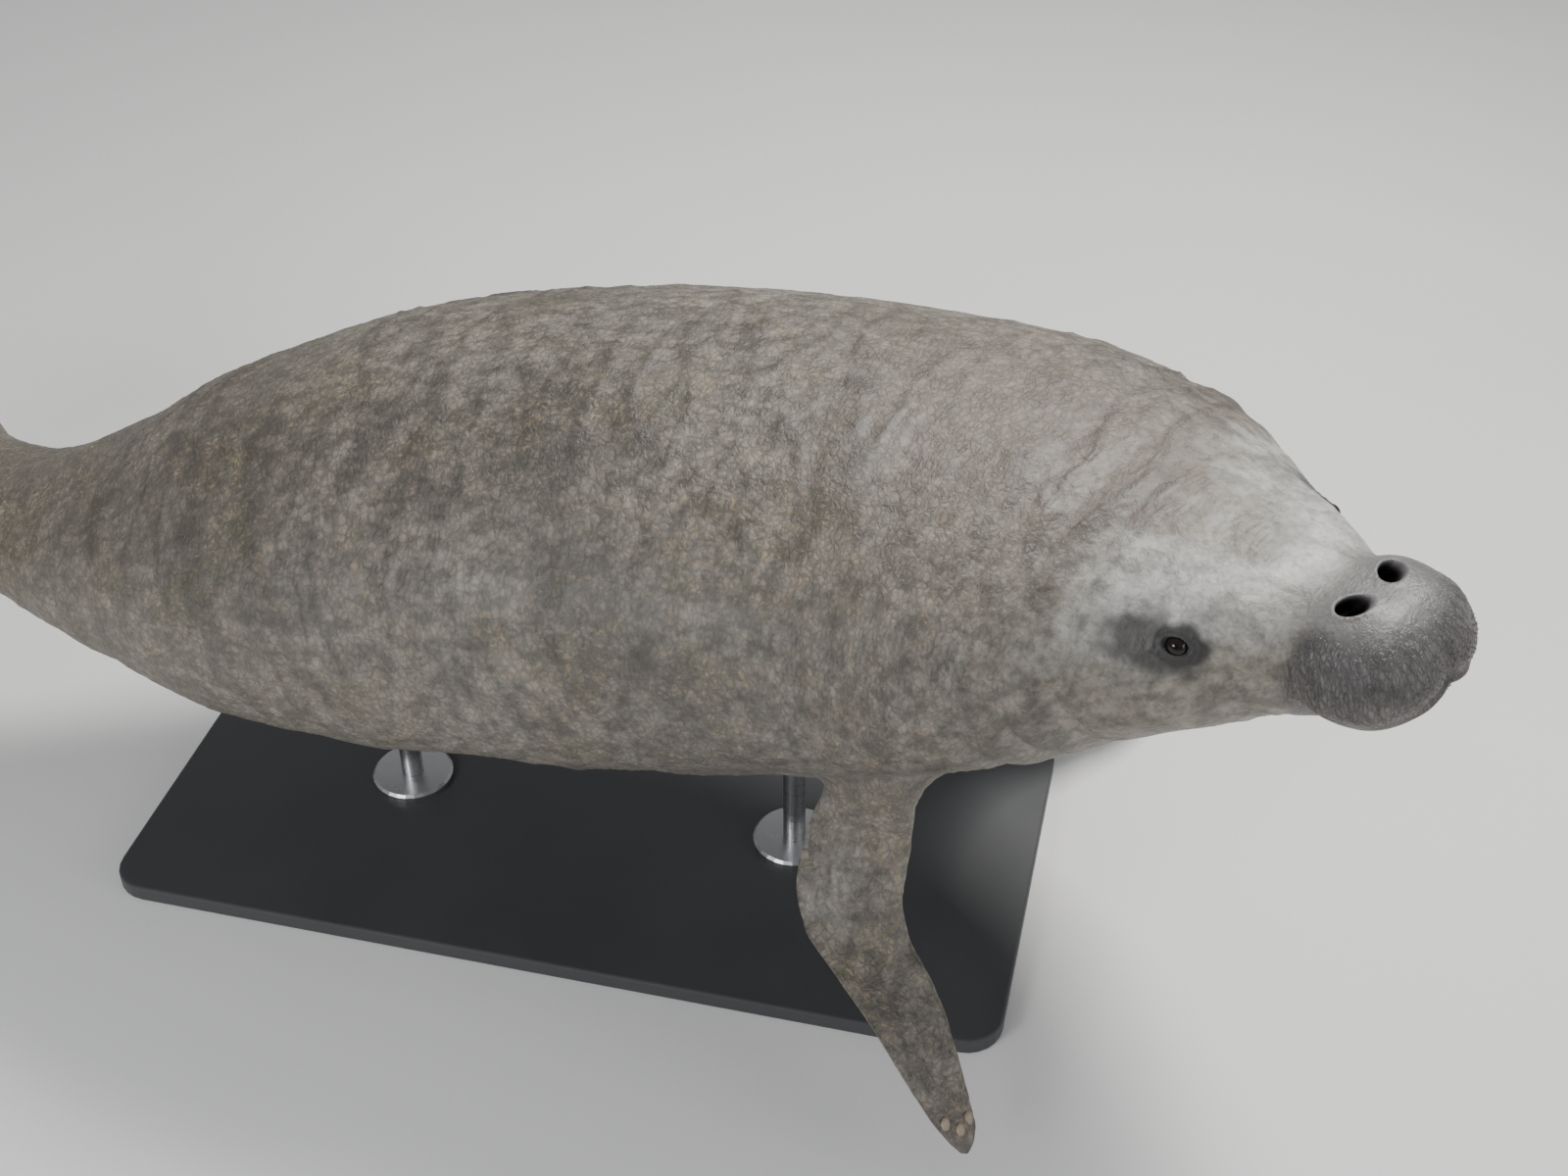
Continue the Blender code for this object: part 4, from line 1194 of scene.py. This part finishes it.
def skin_material():
    look = new_look("manatee_hide")
    lie = look.attribute("lie", "Vector")
    names = "dent dark shade muzzle crown neck belly rear head lips above pleated".split()
    share = {name: look.attribute(name) for name in names}

    grown = look.stretched(lie, (0.75, 1.0, 1.0))
    wide = look.clouds(lie, 3.0, 3.0)
    patch = look.clouds(look.wobbled(lie, 9.0, 0.05), 7.5, 4.0, 0.6)
    mottle = look.clouds(grown, 36.0, 6.0, 0.68)
    speck = look.clouds(grown, 88.0, 4.0, 0.62)
    fleck = look.clouds(look.wobbled(grown, 60.0, 0.012), 150.0, 3.0)
    grain = look.clouds(lie, 430.0, 3.0)
    field = look.stretched(look.wobbled(lie, 55.0, 0.014), (1.0, 0.72, 0.72))
    large, small = look.pebbles(field, 88.0), look.pebbles(field, 185.0)
    upright = look.stretched(look.wobbled(lie, 90.0, 0.006), (1.0, 1.0, 0.30))
    pleats = look.rest_of(look.between(look.pebbles(upright, 205.0), 0.0, 0.60))
    pleats = look.times(pleats, share["pleated"])

    hide = look.mix(look.between(mottle, 0.34, 0.68), HIDE_DUSK, HIDE_PALE)
    hide = look.mix(look.between(wide, 0.36, 0.58, 0.38, 0.0), hide, HIDE_DARK_AND_SHADE)
    hide = look.mix(look.between(speck, 0.36, 0.50, 0.35, 0.0), hide, HIDE_DARK_AND_SHADE)
    behind = look.times(share["rear"], look.between(mottle, 0.30, 0.62, 0.85, 0.30))
    hide = look.mix(behind, hide, HIDE_REAR)
    hide = look.mix(look.times(share["belly"], 0.65), hide, BELLY)

    bare = {0: look.times(share["belly"], 0.7), 1: look.times(share["head"], 0.55)}
    grown_over = look.rest_of(look.put("Math", bare, operation="ADD"), clamp=True)
    olive = look.times(look.between(patch, 0.50, 0.64, 0.0, 0.5), look.between(speck, 0.38, 0.60))
    hide = look.mix(look.times(olive, grown_over), hide, ALGAE_OLIVE)
    tan = look.times(look.between(fleck, 0.53, 0.63), look.between(patch, 0.40, 0.56, 0.15, 0.85))
    tan = look.times(tan, look.between(mottle, 0.42, 0.58, 0.25, 1.0))
    hide = look.mix(look.times(tan, grown_over), hide, ALGAE_TAN)

    brown = look.mix(look.between(mottle, 0.36, 0.80), NECK_BROWN, HIDE_PALE)
    hide = look.mix(look.times(share["neck"], 0.85), hide, brown)
    # The crown: paler skin and a painted highlight on the top of the head.
    pale = look.mix(look.between(mottle, 0.34, 0.62), CROWN_SHADE, CROWN_PALE_AND_SHEEN)
    pale = look.mix(look.between(speck, 0.36, 0.5, 0.25, 0.0), pale, HIDE_DUSK)
    hide = look.mix(share["crown"], hide, pale)
    slate = look.mix(look.between(mottle, 0.30, 0.72), MUZZLE_SLATE, MUZZLE_PALE)
    slate = look.mix(share["above"], slate, MUZZLE_PALE)
    slate = look.mix(look.times(share["lips"], look.between(speck, 0.40, 0.62, 0.2, 0.8)), slate, LIP_PINK)
    slate = look.mix(look.between(fleck, 0.30, 0.42, 0.35, 0.0), slate, HIDE_DARK_AND_SHADE)
    # Painted shade in the grooves between the muzzle's pleats.
    slate = look.mix(look.times(pleats, 0.55), slate, HIDE_DARK_AND_SHADE)
    hide = look.mix(share["muzzle"], hide, slate)
    # Painted shadow round the sunken eyes and their lids.
    hide = look.mix(share["shade"], hide, EYE_SHADOW)

    # Painted shade: the skin is darkened in its creases, the mouth's groove, the lid rings and the bristles'
    # pits.
    crease = look.times(share["dent"], 0.80)
    hide = look.mix(crease, hide, look.mix(0.55, hide, HIDE_DARK_AND_SHADE, "MULTIPLY"))
    # Painted shade in the seams between the skin's rounded fields, stronger on the body than on the head.
    seam = look.rest_of(look.between(large, 0.0, 0.55))
    hide = look.mix(look.times(seam, look.between(share["head"], 0.0, 1.0, 0.34, 0.08)), hide, HIDE_DARK_AND_SHADE)
    # Painted shade inside the nostrils and in the gap round each eyeball.
    hide = look.mix(share["dark"], hide, HOLE_SHADE)

    rough = {0: look.between(mottle, 0.3, 0.7, 0.50, 0.66), 1: look.times(share["muzzle"], 0.12)}
    calm = look.between(share["head"], 0.0, 1.0, 1.0, 0.60)
    normal = look.bump(grain, 0.0007, 0.55)
    normal = look.bump(speck, 0.0016, 0.45, normal)
    normal = look.bump(small, 0.0007, look.times(calm, 0.55), normal)
    normal = look.bump(large, 0.0013, look.times(calm, 0.60), normal)
    normal = look.bump(look.rest_of(pleats), 0.0013, 0.70, normal)
    return look.finish({
        "Base Color": hide,
        "Roughness": look.put("Math", rough, operation="SUBTRACT"),
        "Coat Weight": 0.07,
        "Coat Roughness": 0.22,
        "Normal": normal,
    })


def hair_material():
    look = new_look("hair")
    tone = look.clouds(look.attribute("position", "Vector"), 40.0)
    colour = look.mix(tone, (0.070, 0.055, 0.042), (0.21, 0.175, 0.135))
    return look.finish({"Base Color": colour, "Roughness": 0.42})


def eye_material():
    """A nearly black brown eye, with a faint iris round a wide pupil. The eye's own Z axis points out."""
    look = new_look("eye")
    place = look.place()
    reach = look.put("VectorMath", {0: look.stretched(place, (1.0, 1.0, 0.0))}, "Value", operation="LENGTH")
    streak = look.clouds(look.stretched(place, (1.0, 1.0, 0.2)), 900.0, 2.0)
    iris = look.mix(streak, (0.006, 0.004, 0.003), (0.020, 0.012, 0.008))
    colour = look.mix(look.between(reach, 0.0034, 0.0042), (0.002, 0.002, 0.002), iris)
    colour = look.mix(look.between(reach, 0.0080, 0.0090), colour, (0.010, 0.008, 0.007))
    return look.finish({"Base Color": colour, "Roughness": 0.07, "Specular IOR Level": 0.30})


def nail_material():
    look = new_look("nail")
    place = look.place()
    ridge = look.clouds(look.stretched(place, (1.0, 0.12, 1.0)), 900.0, 3.0)
    stain = look.clouds(place, 220.0, 3.0)
    colour = look.mix(ridge, (0.240, 0.185, 0.125), (0.400, 0.330, 0.240))
    colour = look.mix(look.between(stain, 0.45, 0.75, 0.0, 0.6), colour, (0.110, 0.085, 0.060))
    return look.finish({"Base Color": colour, "Roughness": 0.36, "Normal": look.bump(ridge, 0.0004, 0.6)})


def paint_material():
    """Fine textured dark paint of the base."""
    look = new_look("base_paint")
    tone = look.clouds(look.place(), 3.0)
    grain = look.clouds(look.place(), 900.0, 2.0)
    return look.finish({
        "Base Color": look.mix(tone, (0.040, 0.042, 0.045), (0.062, 0.064, 0.068)),
        "Roughness": look.between(tone, 0.3, 0.7, 0.42, 0.52),
        "Normal": look.bump(grain, 0.0003, 0.35),
    })


def steel_material():
    """Brushed steel, with the brush marks running round the rods."""
    look = new_look("brushed_steel")
    brush = look.clouds(look.stretched(look.place(), (0.6, 0.6, 26.0)), 40.0)
    return look.finish({
        "Base Color": look.mix(brush, (0.50, 0.51, 0.52), (0.64, 0.65, 0.66)),
        "Metallic": 1.0,
        "Roughness": look.between(brush, 0.2, 0.8, 0.24, 0.38),
        "Normal": look.bump(brush, 0.0001, 0.25),
    })


def floor_material():
    look = new_look("floor")
    tone = look.clouds(look.place(), 1.2)
    colour = look.mix(tone, (0.80, 0.80, 0.79), (0.86, 0.86, 0.85))
    return look.finish({"Base Color": colour, "Roughness": 0.8})


def dress_stand():
    """Finishes for the stand's own solids."""
    paint, steel = paint_material(), steel_material()
    for name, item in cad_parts.items():
        if name.startswith("stand_"):
            item.data.materials.clear()
            item.data.materials.append(paint if name == "stand_base" else steel)


def make_floor(reach=400.0):
    mesh = bpy.data.meshes.new("floor")
    corners = [(-reach, -reach, 0), (reach, -reach, 0), (reach, reach, 0), (-reach, reach, 0)]
    mesh.from_pydata(corners, [], [(0, 1, 2, 3)])
    mesh.materials.append(floor_material())
    item = linked("floor", mesh)
    item.location.z = -0.0005


def aim_item(item, place, away):
    """Set a light or a camera at a place, facing away from a direction."""
    item.location = place
    item.rotation_mode = "QUATERNION"
    item.rotation_quaternion = (-away).to_track_quat("-Z", "Y")


def soft_light(name, place, size, watts, colour=(1, 1, 1)):
    data = bpy.data.lights.new(name, "AREA")
    data.shape = "RECTANGLE"
    data.size, data.size_y = size
    data.energy = watts
    data.color = colour
    aim_item(linked(name, data), place, Vector(place) - Vector((0.2, 0.0, 0.7)))


def light_scene():
    soft_light("key", (1.6, 1.9, 4.2), (1.5, 1.2), 215, (1.0, 0.985, 0.955))
    soft_light("fill", (-1.4, -4.2, 2.6), (2.2, 1.6), 130, (0.97, 0.985, 1.0))
    soft_light("side", (4.5, -1.2, 1.6), (1.8, 1.8), 40)
    sky = Look(bpy.data.worlds.new("studio"), "Background")
    way = sky.put("SeparateXYZ", {0: sky.put("TexCoord", {}, "Generated")}, 2)
    colour = sky.mix(sky.between(way, 0.0, 0.35), (0.80, 0.815, 0.84), (0.96, 0.98, 1.0))
    bpy.context.scene.world = sky.finish({"Color": colour, "Strength": 0.34})


# The photograph's viewing angle: round the animal, above the level, and how far off, aimed beside the trunk.
CAMERA_AZIMUTH = 16.09
CAMERA_ELEVATION = 38.52
CAMERA_AWAY = 3.114
CAMERA_AIM = (0.2944, -0.02575, -0.062)
CAMERA_LENS = 47.0


def make_camera():
    data = bpy.data.cameras.new("camera")
    data.lens = CAMERA_LENS
    data.sensor_width = 36.0
    item = linked("camera", data)
    turn, rise = math.radians(CAMERA_AZIMUTH), math.radians(CAMERA_ELEVATION)
    away = Vector((math.sin(turn) * math.cos(rise), -math.cos(turn) * math.cos(rise), math.sin(rise)))
    aim = Vector(CAMERA_AIM) + Vector(REFERENCE_PLACE) + Vector(shift)
    aim_item(item, aim + away * CAMERA_AWAY, away)
    bpy.context.scene.camera = item


def frame_shift():
    """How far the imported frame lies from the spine's own, from a length of the tail that nothing cuts."""
    start, end, cut, rings, segments = 1.900, 2.420, 0.00015, 8, 40
    back = np.linspace(start + cut, end - cut, rings + 1)
    angle = np.arange(segments) * 2 * math.pi / segments
    own = surface(back[:, None], angle[None, :])[0].reshape(-1, 3)
    return np.array(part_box("tail_stock")[0]) - own.min(axis=0)


shift = frame_shift()
make_camera()
make_hairs(*make_skin())
eye_look, nail_look = eye_material(), nail_material()
for flank, flank_word in ((1, "left"), (-1, "right")):
    make_eye(flank, flank_word, eye_look)
    make_nails(flank, flank_word, nail_look)
dress_stand()
make_floor()
light_scene()
